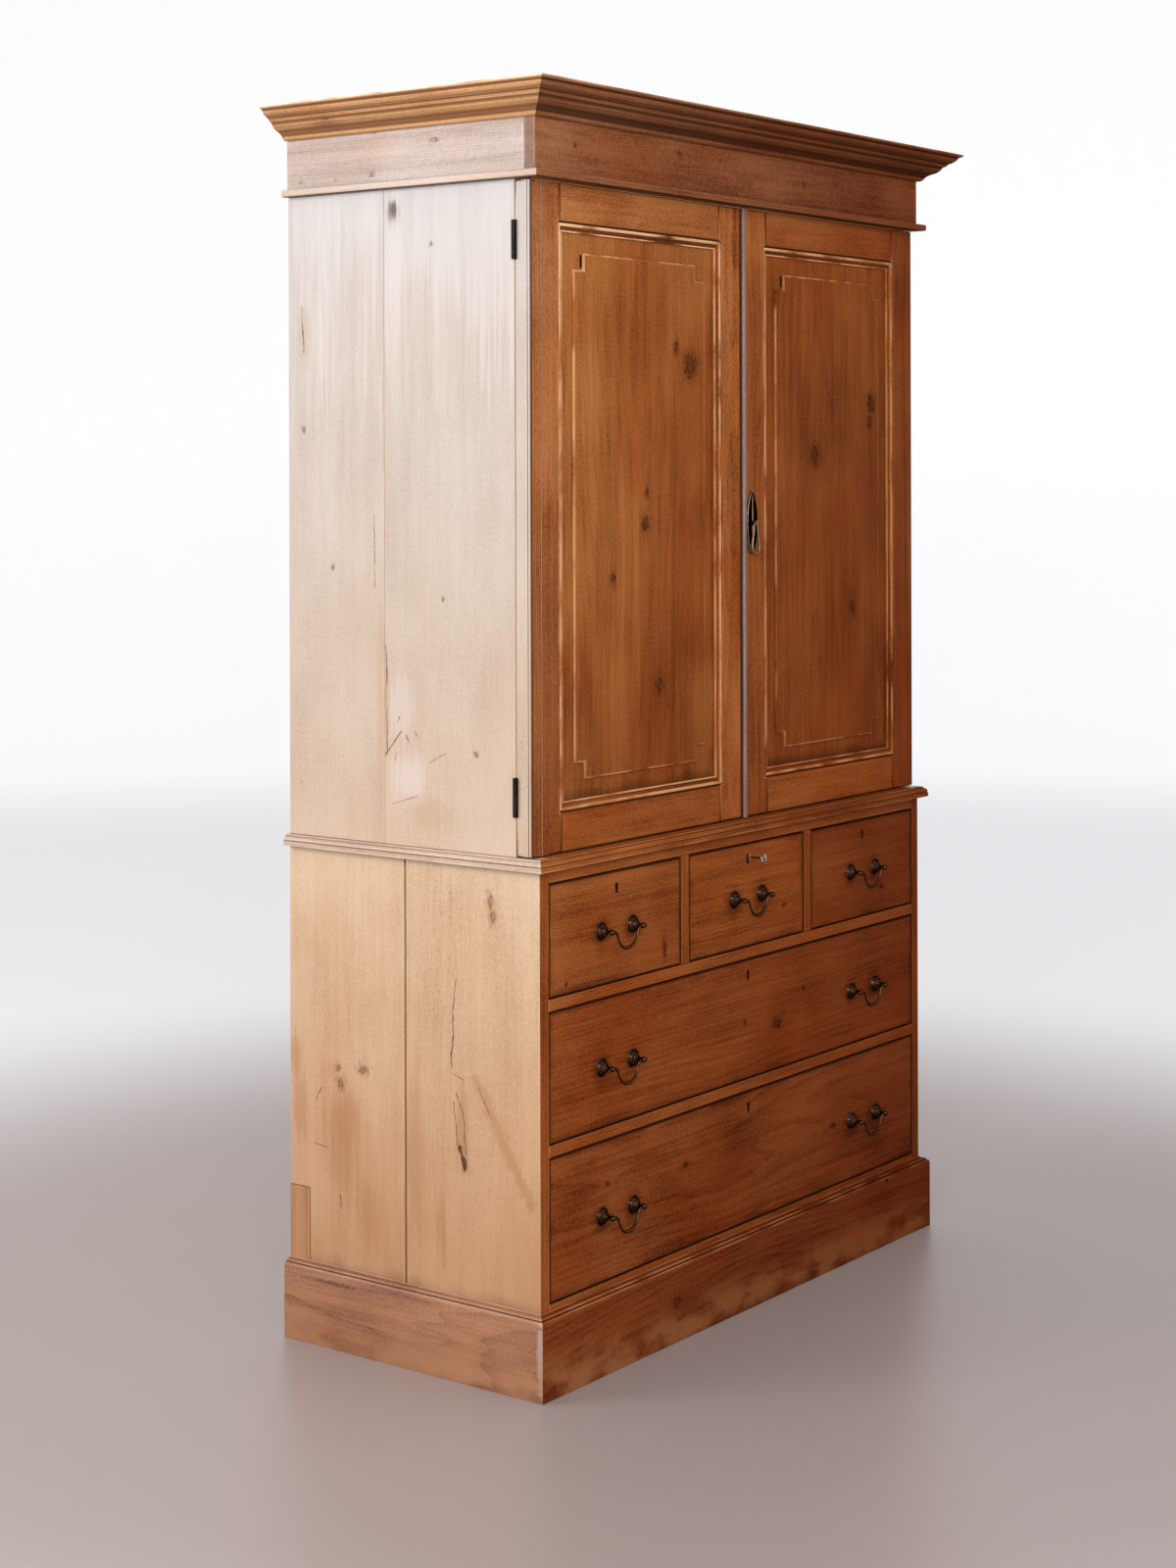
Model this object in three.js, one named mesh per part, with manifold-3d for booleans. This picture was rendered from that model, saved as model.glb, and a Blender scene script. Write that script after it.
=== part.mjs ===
// A free-standing pine linen press. A chest of five drawers stands on a plinth and carries a
// two-door cupboard, and a cornice frame sits on top.
// Millimetres, +Z up. The front faces -Y and the origin is under the middle of the press.
import * as THREE from 'three';
import { mergeVertices } from 'three/addons/utils/BufferGeometryUtils.js';
import Module from 'manifold-3d';

const wasm = await Module();
wasm.setup();

// Gaps and cuts
const seat = 0.3; // left between pieces that touch
const overrun = 4; // how far a cut runs past the face that it opens
const bite = 0.5; // how far joined forms reach into each other

// Chest
const caseWidth = 1220;
const sideThickness = 24;
const chestDepth = 548;
const backThickness = 12;
const bottomThickness = 22;
const bottomShow = 9.7; // edge of the bottom board seen over the plinth
const dividerThickness = 20;
const partitionThickness = 24;
const chestTopThickness = 22;
const topRailShow = 21; // rail seen between the small drawers and the waist moulding
const topRailDepth = 22;
const plankGapAt = 284; // the shrunk joint in each chest side, from the front
const plankGapWidth = 3.2;
const plankGapDepth = 9;

// Plinth
const plinthHeight = 129.5;
const plinthProjection = 16.3;
const plinthLedge = 7.7; // reaches in under the case
const plinthLedgeHeight = 110;
const plinthRailThickness = 24;
const plinthMouldRise = 7.8;
const plinthMouldFall = 3.5; // how far the rounded arris reaches down the face

// Waist moulding
const waistHeight = 19.5;
const waistProjection = 15.6;

// Drawers
const drawerGap = 1.5;
const drawerRecess = 1;
const smallDrawerHeight = 185;
const middleDrawerHeight = 213.5;
const bottomDrawerHeight = 233.5;
const drawerFrontThickness = 22;
const drawerSideThickness = 12;
const drawerBottomThickness = 8;
const drawerBottomRaise = 9;
const drawerRunGap = 0.4; // between a drawer's sides and the board it runs on
const drawerSideDrop = 6; // sides stand this much below the top of the front
const drawerBackClearance = 15;
const tailLength = 15;
const tailHeight = 30;
const tailFlare = 4; // each side of a dovetail spreads this much
const tailPitch = 52;

// Drawer handles
const handleSpan = 89; // between post centres
const handleDrop = 31;
const handleStand = 23; // from drawer face to bail pivot
const handleBelowCentreSmall = 3.5;
const handleBelowCentreMiddle = 7;
const handleBelowCentreBottom = 7.5;
const rosetteRadius = 16;
const postHeadRadius = 5;
const bailPivotRadius = 1.6;
const bailPivotClearance = 0.6;
const bailThickRadius = 3.1;
const bailThinRadius = 1.7;
const bailFinialReach = 9.5; // beyond the post centre
const bailBudRadius = 2.4; // small bud outside each post
const bailTipRadius = 1.2;

// Locks and key
const keyholeBelowTop = 25;
const keyholeRadius = 3;
const keyholeSlotWidth = 4;
const keyholeDepth = 19;
const keyholeSlotDrop = 9;
const lockWidth = 56;
const lockHeight = 40;
const lockTopMargin = 6;
const lockCover = 2;
const lockChamberStart = 9; // wood left in front of the chamber
const boltWidth = 26;
const boltThickness = 3.6;
const boltLength = 34;
const boltBelowTop = 0.8;
const boltClearance = 0.4;
const boltBehindBit = 1.2; // from the key's bit to the bolt
const boltTravel = 8;
const boltSlotEnd = 2; // mortise left over the thrown bolt
const keyRadius = 2.4;
const keyBitReach = 8.5;
const keyBitWidth = 2.6;
const keyBitLength = 4;
const keyProjection = 40;
const keyBowLength = 12;
const keyBowHeight = 18;
const keyBowWire = 1.5;
const keyCollarRadius = 4.2;
const keyCollarLength = 2.2;
const keyCollarStand = 3;

// Cupboard
const cupboardOverhang = 2; // each side stands this much outside the chest
const cupboardRearSetback = 2.7;
const cupboardTopThickness = 24;
const shelfThickness = 20;
const shelfSetback = 16;

// Doors
const doorSetback = 13; // door face behind the drawer faces
const doorThickness = 32;
const doorBackGap = 1.6;
const doorHeight = 1095;
const doorBottomGap = 2.5;
const doorTopGap = 2.5;
const doorMeetingGap = 2.2;
const hangingStileFlat = 72.5;
const meetingStileFlatLeft = 60.5;
const meetingStileFlatRight = 74;
const hangingJointLap = 4.5; // moulding laps the stile and rail joint
const meetingJointLap = 8;
const topRailFlat = 63.5;
const bottomRailFlat = 66;
const panelMouldWidth = 16;
const panelSink = 8; // margin of the panel behind the door face
const panelThickness = 10;
const panelGroove = 8;
const fieldRaise = 4;
const fieldBevel = 2.5;
const fieldMargin = 31;
const fieldNotch = 28;
const tenonLength = 45;
const tenonThickness = 10;
const tenonMargin = 10;
const edgeQuirkFromFront = 6.5;
const faceQuirkFromEdge = 25;
const quirkWidth = 1.6;
const quirkDepth = 1.4;
const astragalWidth = 13;
const astragalProud = 6;

// Hinges
const hingeLength = 64;
const hingeLeafWidth = 20;
const hingeLeafThickness = 2;
const knuckleRadius = 4;
const knuckleClearance = 0.5;
const hingePinRadius = 2;
const hingePinClearance = 0.35;
const hingeAxisProud = 3;
const hingeTopInset = 96.5; // hinge centre below the door's top
const hingeBottomInset = 95;

// Door pull
const pullFromEdge = 31;
const pullHeight = 115;
const pullWidth = 32;
const pullThickness = 2.4;
const pullRimWidth = 2.6;
const pullRimRise = 1.2;
const pullRidgeRadius = 2.2;
const pullAboveDoorBottom = 528.5; // pivot height
const pullPivotBelowMiddle = 2;
const pullBossWidth = 6;
const pullBossHeight = 9;
const pullPivotStand = 10;
const pullPivotRadius = 1.5;
const pullPivotClearance = 0.5;
const dropLength = 54;
const dropWidth = 23;
const dropThickRadius = 2.3;

// Cornice frame
const friezeOverhang = 5.3;
const friezeFront = 1.7;
const friezeThickness = 22;
const friezeShow = 85.5;
const friezeBehindCornice = 46;
const beadThickness = 12;
const beadProjection = 14;
const beadRound = 3;
const corniceHeight = 54;
const corniceProjection = 68.6;

// Faces round a turned form
const turnedSides = 10;
const wireSides = 6;
const knuckleSides = 10;
const boreSides = 10;

// Outlines as shares of the width and height that they fill, from the wall outwards
const corniceShares = [
  [0.071, 0], [0.11, 0.022], [0.198, 0.157], [0.291, 0.24], [0.418, 0.311], [0.508, 0.413],
  [0.565, 0.528], [0.607, 0.544], [0.654, 0.644], [0.727, 0.663], [0.819, 0.75], [0.893, 0.885],
  [0.992, 0.935], [1, 1],
];
const waistShares = [
  [1, 0], [1, 0.38], [0.91, 0.42], [0.93, 0.5], [0.92, 0.62], [0.84, 0.74], [0.72, 0.82],
  [0.56, 0.86], [0.54, 0.95], [0.44, 1],
];
const plinthMouldShares = [
  [1, -1], [0.96, -0.35], [0.84, 0.05], [0.68, 0.1], [0.67, 0.28], [0.58, 0.55], [0.42, 0.64],
  [0.24, 0.72], [0.11, 0.9],
];
const panelMouldShares = [
  [0, 0], [0.07, 0.16], [0.14, 0], [0.3, -0.02], [0.42, 0.14], [0.5, 0.42], [0.66, 0.62],
  [0.8, 0.66], [0.84, 0.52], [0.94, 0.52], [1, 0.72],
];
const astragalShares = [
  [0, 0.3], [0.13, 0.3], [0.15, 0.16], [0.22, 0.66], [0.37, 0.94], [0.5, 1], [0.63, 0.94],
  [0.78, 0.66], [0.85, 0.16], [0.87, 0.3], [1, 0.3],
];
// Radius as a share of the rosette, height as a share of the pivot's stand
const postShares = [
  [1, 0.06], [0.93, 0.1], [0.84, 0.22], [0.6, 0.36], [0.52, 0.36], [0.36, 0.47], [0.2, 0.56],
];
const headShares = [
  [0.62, -0.84], [1, -0.2], [0.9, 0.5], [0.5, 0.87],
];
// Half of a bail, from its middle to the post: across as a share of the half span, down as a
// share of the drop, thickness as a share between the thin and the thick radius
const bailShares = [
  [0, 1, 1], [0.2, 0.97, 0.9], [0.38, 0.84, 0.55], [0.53, 0.6, 0.15], [0.62, 0.33, 0.1],
  [0.7, 0.1, 0.5], [0.79, 0, 0.35],
];
// A drop loop, from its pivot down one side: across as a share of the half width, down and
// thickness as above
const dropShares = [
  [0.32, 0, 0], [0.5, 0.1, 0], [0.53, 0.28, 0.25], [0.8, 0.52, 0.5], [1, 0.74, 0.8],
  [0.78, 0.93, 1], [0.36, 1, 1],
];
const pullShares = [
  [0, 1], [0.3, 0.9], [0.66, 0.68], [0.92, 0.38], [1, 0.08], [0.98, -0.2], [0.86, -0.5],
  [0.62, -0.78], [0.26, -0.96],
];
const tabReachShare = 0.5; // hinge tabs reach this far across their leaf
const bailStepsShare = 1.5; // steps along a bail for each of its shaping points

// Places worked out from the sizes above. y = 0 is the chest's front, z = 0 the floor.
const caseHalf = caseWidth / 2;
const caseInner = caseHalf - sideThickness;
const plinthTop = plinthHeight + plinthMouldRise;
const chestFloor = plinthTop + bottomShow;
const middleFloor = chestFloor + bottomDrawerHeight + 2 * drawerGap + dividerThickness;
const smallFloor = middleFloor + middleDrawerHeight + 2 * drawerGap + dividerThickness;
const topRailBottom = smallFloor + smallDrawerHeight + 2 * drawerGap;
const waistBottom = topRailBottom + topRailShow;
const chestTop = waistBottom + waistHeight;
const chestBackFront = chestDepth - backThickness;
const boardBack = chestBackFront - seat;
const smallOpening = (2 * caseInner - 2 * partitionThickness) / 3;
const partitionAt = (smallOpening + partitionThickness) / 2;
const handleRow = smallOpening + partitionThickness; // outer handles from the middle one

const cupboardHalf = caseHalf + cupboardOverhang;
const cupboardInner = cupboardHalf - sideThickness;
const doorBack = doorSetback + doorThickness;
const cupboardFront = doorBack + doorBackGap;
const cupboardBack = chestDepth - cupboardRearSetback;
const cupboardBackFront = cupboardBack - backThickness;
const cupboardBase = chestTop + seat;
const doorBottom = chestTop + doorBottomGap;
const doorTop = doorBottom + doorHeight;
const friezeBottom = doorTop + doorTopGap;
const cupboardTop = friezeBottom - seat;
const doorWidth = cupboardHalf - doorMeetingGap / 2;
const hingeAxisX = cupboardHalf + hingeAxisProud;
const hingeAxisY = doorBack + doorBackGap / 2;
const hinge = {
  top: doorTop - hingeTopInset,
  bottom: doorBottom + hingeBottomInset,
};

const friezeHalf = caseHalf + friezeOverhang;
const corniceBottom = friezeBottom + beadThickness + friezeShow;
const corniceTop = corniceBottom + corniceHeight;
const corniceFront = friezeFront - corniceProjection;

// Waxed pine, paler on the sides and inside, with dark brass, iron and steel fittings
function finish(color, roughness, metalness) {
  return new THREE.MeshStandardMaterial({ color, roughness, metalness });
}
const pine = finish(0xb06c34, 0.55, 0);
const palePine = finish(0xd3a273, 0.6, 0);
const drawerPine = finish(0xa5602c, 0.5, 0);
const brass = finish(0x5a4630, 0.4, 0.9);
const iron = finish(0x3c3733, 0.55, 0.8);
const steel = finish(0x8b8378, 0.4, 0.9);

// A closed geometry as a solid that can be joined and cut
function solid(geometry) {
  const bare = geometry.clone();
  for (const name of Object.keys(bare.attributes)) {
    if (name !== 'position') bare.deleteAttribute(name);
  }
  const welded = mergeVertices(bare);
  const corners = welded.index.array;
  const kept = [];
  for (let i = 0; i < corners.length; i += 3) {
    const [a, b, c] = [corners[i], corners[i + 1], corners[i + 2]];
    if (a !== b && b !== c && c !== a) kept.push(a, b, c);
  }
  return new wasm.Manifold(new wasm.Mesh({
    numProp: 3,
    vertProperties: new Float32Array(welded.attributes.position.array),
    triVerts: new Uint32Array(kept),
  }));
}

function join(first, ...others) {
  return others.reduce((whole, other) => whole.add(other), first);
}

function cut(whole, ...tools) {
  return tools.reduce((rest, tool) => rest.subtract(tool), whole);
}

// A box between two places on each axis
function box([x0, x1], [y0, y1], [z0, z1]) {
  const geometry = new THREE.BoxGeometry(x1 - x0, y1 - y0, z1 - z0);
  geometry.translate((x0 + x1) / 2, (y0 + y1) / 2, (z0 + z1) / 2);
  return solid(geometry);
}

function extruded(outline, depth) {
  const shape = new THREE.Shape(outline.map(([a, b]) => new THREE.Vector2(a, b)));
  return new THREE.ExtrudeGeometry(shape, { depth, bevelEnabled: false });
}

// An outline in Y and Z carried along X
function prismX(outline, [x0, x1]) {
  const geometry = extruded(outline, x1 - x0);
  const turn = new THREE.Matrix4().makeBasis(
    new THREE.Vector3(0, 1, 0), new THREE.Vector3(0, 0, 1), new THREE.Vector3(1, 0, 0));
  geometry.applyMatrix4(turn);
  geometry.translate(x0, 0, 0);
  return solid(geometry);
}

// An outline in X and Z carried along Y
function prismY(outline, [y0, y1]) {
  const geometry = extruded(outline, y1 - y0);
  geometry.rotateX(Math.PI / 2);
  geometry.translate(0, y1, 0);
  return solid(geometry);
}

// An outline in X and Y carried along Z
function prismZ(outline, [z0, z1]) {
  const geometry = extruded(outline, z1 - z0);
  geometry.translate(0, 0, z0);
  return solid(geometry);
}

// Rings of points joined one to the next, and the last to the first where the run is closed.
// Otherwise a ring's own shape in the plane caps the ends.
function loft(rings, flat, closed = false) {
  const count = flat.length;
  const index = [];
  const spans = closed ? rings.length : rings.length - 1;
  for (let r = 0; r < spans; r += 1) {
    const here = r * count;
    const there = ((r + 1) % rings.length) * count;
    for (let i = 0; i < count; i += 1) {
      const next = (i + 1) % count;
      index.push(here + i, here + next, there + next);
      index.push(here + i, there + next, there + i);
    }
  }
  if (!closed) {
    const contour = flat.map(([a, b]) => new THREE.Vector2(a, b));
    const sense = Math.sign(THREE.ShapeUtils.area(contour));
    const last = (rings.length - 1) * count;
    for (const [a, b, c] of THREE.ShapeUtils.triangulateShape(contour, [])) {
      const own = Math.sign(THREE.ShapeUtils.area([contour[a], contour[b], contour[c]]));
      const [i, j, k] = own === sense ? [a, b, c] : [a, c, b];
      index.push(i, k, j, last + i, last + j, last + k);
    }
  }
  const geometry = new THREE.BufferGeometry();
  const places = rings.flat().flatMap((point) => point.toArray());
  geometry.setAttribute('position', new THREE.Float32BufferAttribute(places, 3));
  geometry.setIndex(index);
  return signedVolume(geometry) < 0 ? turnedInsideOut(geometry) : geometry;
}

function signedVolume(geometry) {
  const at = geometry.attributes.position;
  const corners = geometry.index.array;
  const [a, b, c] = [new THREE.Vector3(), new THREE.Vector3(), new THREE.Vector3()];
  let sum = 0;
  for (let i = 0; i < corners.length; i += 3) {
    a.fromBufferAttribute(at, corners[i]);
    b.fromBufferAttribute(at, corners[i + 1]);
    c.fromBufferAttribute(at, corners[i + 2]);
    sum += a.dot(b.cross(c));
  }
  return sum / 6;
}

function turnedInsideOut(geometry) {
  const corners = Array.from(geometry.index.array);
  for (let i = 0; i < corners.length; i += 3) {
    [corners[i + 1], corners[i + 2]] = [corners[i + 2], corners[i + 1]];
  }
  geometry.setIndex(corners);
  return geometry;
}

// A section of projections and heights run round the left, front and right with mitred corners
function mitredRun(section, left, right, front, back) {
  const rings = [
    section.map(([p, z]) => new THREE.Vector3(left - p, back, z)),
    section.map(([p, z]) => new THREE.Vector3(left - p, front - p, z)),
    section.map(([p, z]) => new THREE.Vector3(right + p, front - p, z)),
    section.map(([p, z]) => new THREE.Vector3(right + p, back, z)),
  ];
  return solid(loft(rings, section));
}

// A section of insets and depths run round the inside of an upright rectangle
function mitredRing(section, [x0, x1], [z0, z1]) {
  const corner = (x, z, signX, signZ) => section.map(
    ([inset, y]) => new THREE.Vector3(x + signX * inset, y, z + signZ * inset));
  const rings = [
    corner(x0, z0, 1, 1), corner(x1, z0, -1, 1), corner(x1, z1, -1, -1), corner(x0, z1, 1, -1),
  ];
  return solid(loft(rings, section, true));
}

// A round rod of changing thickness along points in one plane, closed or with flat ends
function wire(points, radii, normal, closed = false) {
  const count = points.length;
  const flat = [];
  for (let s = 0; s < wireSides; s += 1) {
    const angle = (2 * Math.PI * s) / wireSides;
    flat.push([Math.cos(angle), Math.sin(angle)]);
  }
  const rings = points.map((point, i) => {
    const before = points[closed ? (i + count - 1) % count : Math.max(i - 1, 0)];
    const after = points[closed ? (i + 1) % count : Math.min(i + 1, count - 1)];
    const along = new THREE.Vector3().subVectors(after, before).normalize();
    const across = new THREE.Vector3().crossVectors(along, normal);
    return flat.map(([c, s]) => point.clone()
      .addScaledVector(across, c * radii[i])
      .addScaledVector(normal, s * radii[i]));
  });
  return solid(loft(rings, flat, closed));
}

const faceNormal = new THREE.Vector3(0, 1, 0);
const sideNormal = new THREE.Vector3(1, 0, 0);

function rodX(radius, [x0, x1], y, z, sides) {
  const geometry = new THREE.CylinderGeometry(radius, radius, x1 - x0, sides);
  geometry.rotateZ(Math.PI / 2);
  geometry.translate((x0 + x1) / 2, y, z);
  return solid(geometry);
}

function rodY(radius, x, [y0, y1], z, sides) {
  const geometry = new THREE.CylinderGeometry(radius, radius, y1 - y0, sides);
  geometry.translate(x, (y0 + y1) / 2, z);
  return solid(geometry);
}

function rodZ(radius, x, y, [z0, z1], sides) {
  const geometry = new THREE.CylinderGeometry(radius, radius, z1 - z0, sides);
  geometry.rotateX(Math.PI / 2);
  geometry.translate(x, y, (z0 + z1) / 2);
  return solid(geometry);
}

const press = new THREE.Group();
press.position.y = -(corniceFront + chestDepth) / 2;

// Adds a solid as a named mesh, mirrored to the other side where asked
function piece(name, whole, material, mirrored = false) {
  const cutMesh = whole.getMesh();
  let geometry = new THREE.BufferGeometry();
  geometry.setAttribute('position', new THREE.Float32BufferAttribute(cutMesh.vertProperties, 3));
  geometry.setIndex(Array.from(cutMesh.triVerts));
  if (mirrored) {
    geometry.scale(-1, 1, 1);
    geometry = turnedInsideOut(geometry);
  }
  geometry.computeVertexNormals();
  const mesh = new THREE.Mesh(geometry, material);
  mesh.name = name;
  press.add(mesh);
}

// The plinth is a mitred front and sides with a ledge under the case, and a rail at the back
function makePlinth() {
  const mould = plinthMouldShares.map(([across, up]) => [
    across * plinthProjection,
    plinthHeight + up * (up < 0 ? plinthMouldFall : plinthMouldRise),
  ]);
  const section = [
    [-plinthLedge, 0], [plinthProjection, 0], ...mould, [seat, plinthTop],
    [seat, plinthLedgeHeight], [-plinthLedge, plinthLedgeHeight],
  ];
  const run = mitredRun(section, -caseHalf, caseHalf, 0, chestDepth);
  const railHalf = caseHalf - plinthLedge + bite;
  const rail = box([-railHalf, railHalf], [chestDepth - plinthRailThickness, chestDepth],
    [0, plinthLedgeHeight]);
  piece('plinth', join(run, rail), palePine);
}

function makeChestSides() {
  for (const [name, mirrored] of [['lower_side_left', false], ['lower_side_right', true]]) {
    const board = box([-caseHalf, -caseInner], [0, chestDepth],
      [plinthLedgeHeight + seat, chestTop]);
    const gap = box([-caseHalf - overrun, -caseHalf + plankGapDepth],
      [plankGapAt, plankGapAt + plankGapWidth], [-overrun, chestTop + overrun]);
    piece(name, cut(board, gap), palePine, mirrored);
  }
}

// Board between the chest's sides, from the front to the back boards
function chestBoard(name, bottom, thickness) {
  const half = caseInner - seat;
  piece(name, box([-half, half], [0, boardBack], [bottom, bottom + thickness]), pine);
}

function makeChestBoards() {
  chestBoard('lower_bottom', chestFloor - bottomThickness, bottomThickness);
  chestBoard('drawer_divider_lower', middleFloor - dividerThickness, dividerThickness);
  chestBoard('drawer_divider_upper', smallFloor - dividerThickness, dividerThickness);
  const half = caseInner - seat;
  piece('lower_back', box([-half, half], [chestBackFront, chestDepth],
    [plinthLedgeHeight + seat, chestTop]), palePine);
}

// The top board carries the top rail, with the mortise that the middle drawer's bolt enters
function makeChestTop() {
  const half = caseInner - seat;
  const outline = [
    [0, topRailBottom], [topRailDepth, topRailBottom],
    [topRailDepth, chestTop - chestTopThickness], [boardBack, chestTop - chestTopThickness],
    [boardBack, chestTop], [0, chestTop],
  ];
  const board = prismX(outline, [-half, half]);
  const bolt = boltPlace();
  const mortise = box(
    [-boltWidth / 2 - boltClearance, boltWidth / 2 + boltClearance],
    [bolt.front - boltClearance, bolt.front + boltThickness + boltClearance],
    [topRailBottom - overrun, bolt.top + boltTravel + boltSlotEnd]);
  piece('lower_top', cut(board, mortise), pine);
}

// Partitions stand between the small drawers and pass behind the top rail
function makePartitions() {
  const railBack = topRailDepth + seat;
  const outline = [
    [0, smallFloor + seat], [boardBack, smallFloor + seat],
    [boardBack, chestTop - chestTopThickness - seat],
    [railBack, chestTop - chestTopThickness - seat],
    [railBack, topRailBottom - seat], [0, topRailBottom - seat],
  ];
  for (const [name, side] of [['drawer_partition_left', -1], ['drawer_partition_right', 1]]) {
    const middle = side * partitionAt;
    piece(name, prismX(outline,
      [middle - partitionThickness / 2, middle + partitionThickness / 2]), pine);
  }
}

function makeWaist() {
  const section = [
    [seat, waistBottom],
    ...waistShares.map(([out, up]) => [out * waistProjection, waistBottom + up * waistHeight]),
    [seat, chestTop],
  ];
  piece('waist_moulding', mitredRun(section, -caseHalf, caseHalf, 0, chestDepth), palePine);
}

// Where the bolt of the middle small drawer lies when it is drawn in
function boltPlace() {
  const top = topRailBottom - drawerGap - boltBelowTop;
  const front = drawerRecess + lockChamberStart + boltClearance + keyBitLength + boltBehindBit;
  return { top, front };
}

// A keyhole: a round hole with a slot below it
function keyhole(x, z, [y0, y1]) {
  const round = rodY(keyholeRadius, x, [y0, y1], z, boreSides);
  const slot = box([x - keyholeSlotWidth / 2, x + keyholeSlotWidth / 2], [y0, y1],
    [z - keyholeSlotDrop, z]);
  return join(round, slot);
}

// One turned handle post with its rosette, and the hole that the bail turns in
function handlePost(x, z) {
  const profile = [
    [0, -bite], [rosetteRadius, -bite],
    ...postShares.map(([out, up]) => [out * rosetteRadius, up * handleStand]),
    ...headShares.map(([out, up]) => [out * postHeadRadius, handleStand + up * postHeadRadius]),
    [0, handleStand + postHeadRadius],
  ];
  const geometry = new THREE.LatheGeometry(
    profile.map(([r, h]) => new THREE.Vector2(r, h)), turnedSides);
  geometry.rotateX(Math.PI);
  geometry.translate(x, drawerRecess, z);
  const reach = postHeadRadius + overrun;
  return cut(solid(geometry), rodX(bailPivotRadius + bailPivotClearance,
    [x - reach, x + reach], drawerRecess - handleStand, z, boreSides));
}

// A swan-neck bail, hanging from its pivots
function makeBail(name, x, z) {
  const half = handleSpan / 2;
  const down = bailShares.map(([out, drop]) => new THREE.Vector3(out * half, 0, -drop * handleDrop));
  const curve = new THREE.CatmullRomCurve3(down, false, 'centripetal');
  const steps = Math.round(bailStepsShare * (bailShares.length - 1));
  const side = [];
  for (let i = 0; i <= steps; i += 1) {
    const t = i / steps;
    const place = t * (bailShares.length - 1);
    const low = Math.min(Math.floor(place), bailShares.length - 2);
    const mix = place - low;
    const share = bailShares[low][2] * (1 - mix) + bailShares[low + 1][2] * mix;
    side.push([curve.getPoint(t), bailThinRadius + share * (bailThickRadius - bailThinRadius)]);
  }
  // The pivot runs straight through the post head and ends in a small finial
  const clear = postHeadRadius + bailPivotClearance;
  side.push([new THREE.Vector3(half - clear, 0, 0), bailPivotRadius]);
  side.push([new THREE.Vector3(half + clear, 0, 0), bailPivotRadius]);
  side.push([new THREE.Vector3(half + (clear + bailFinialReach) / 2, 0, 0), bailBudRadius]);
  side.push([new THREE.Vector3(half + bailFinialReach, 0, 0), bailTipRadius]);
  const other = side.slice(1).reverse().map(
    ([point, radius]) => [new THREE.Vector3(-point.x, point.y, point.z), radius]);
  const whole = [...other, ...side];
  const points = whole.map(
    ([point]) => point.clone().add(new THREE.Vector3(x, drawerRecess - handleStand, z)));
  piece(name, wire(points, whole.map(([, radius]) => radius), faceNormal), brass);
}

// The tails on the ends of a drawer's sides, and the wider sockets that take them
function tails(edge, inner, bottom, height, growth) {
  const count = Math.floor((height - tailHeight) / tailPitch) + 1;
  const first = bottom + (height - (count - 1) * tailPitch) / 2;
  const back = drawerRecess + drawerFrontThickness + bite;
  const tip = drawerRecess + drawerFrontThickness - tailLength - growth;
  const solids = [];
  for (let i = 0; i < count; i += 1) {
    const middle = first + i * tailPitch;
    const root = tailHeight / 2 - tailFlare + growth;
    const end = tailHeight / 2 + growth;
    const outline = [
      [back, middle - root], [back, middle + root], [tip, middle + end], [tip, middle - end],
    ];
    solids.push(prismX(outline, [edge, inner]));
  }
  return solids;
}

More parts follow.
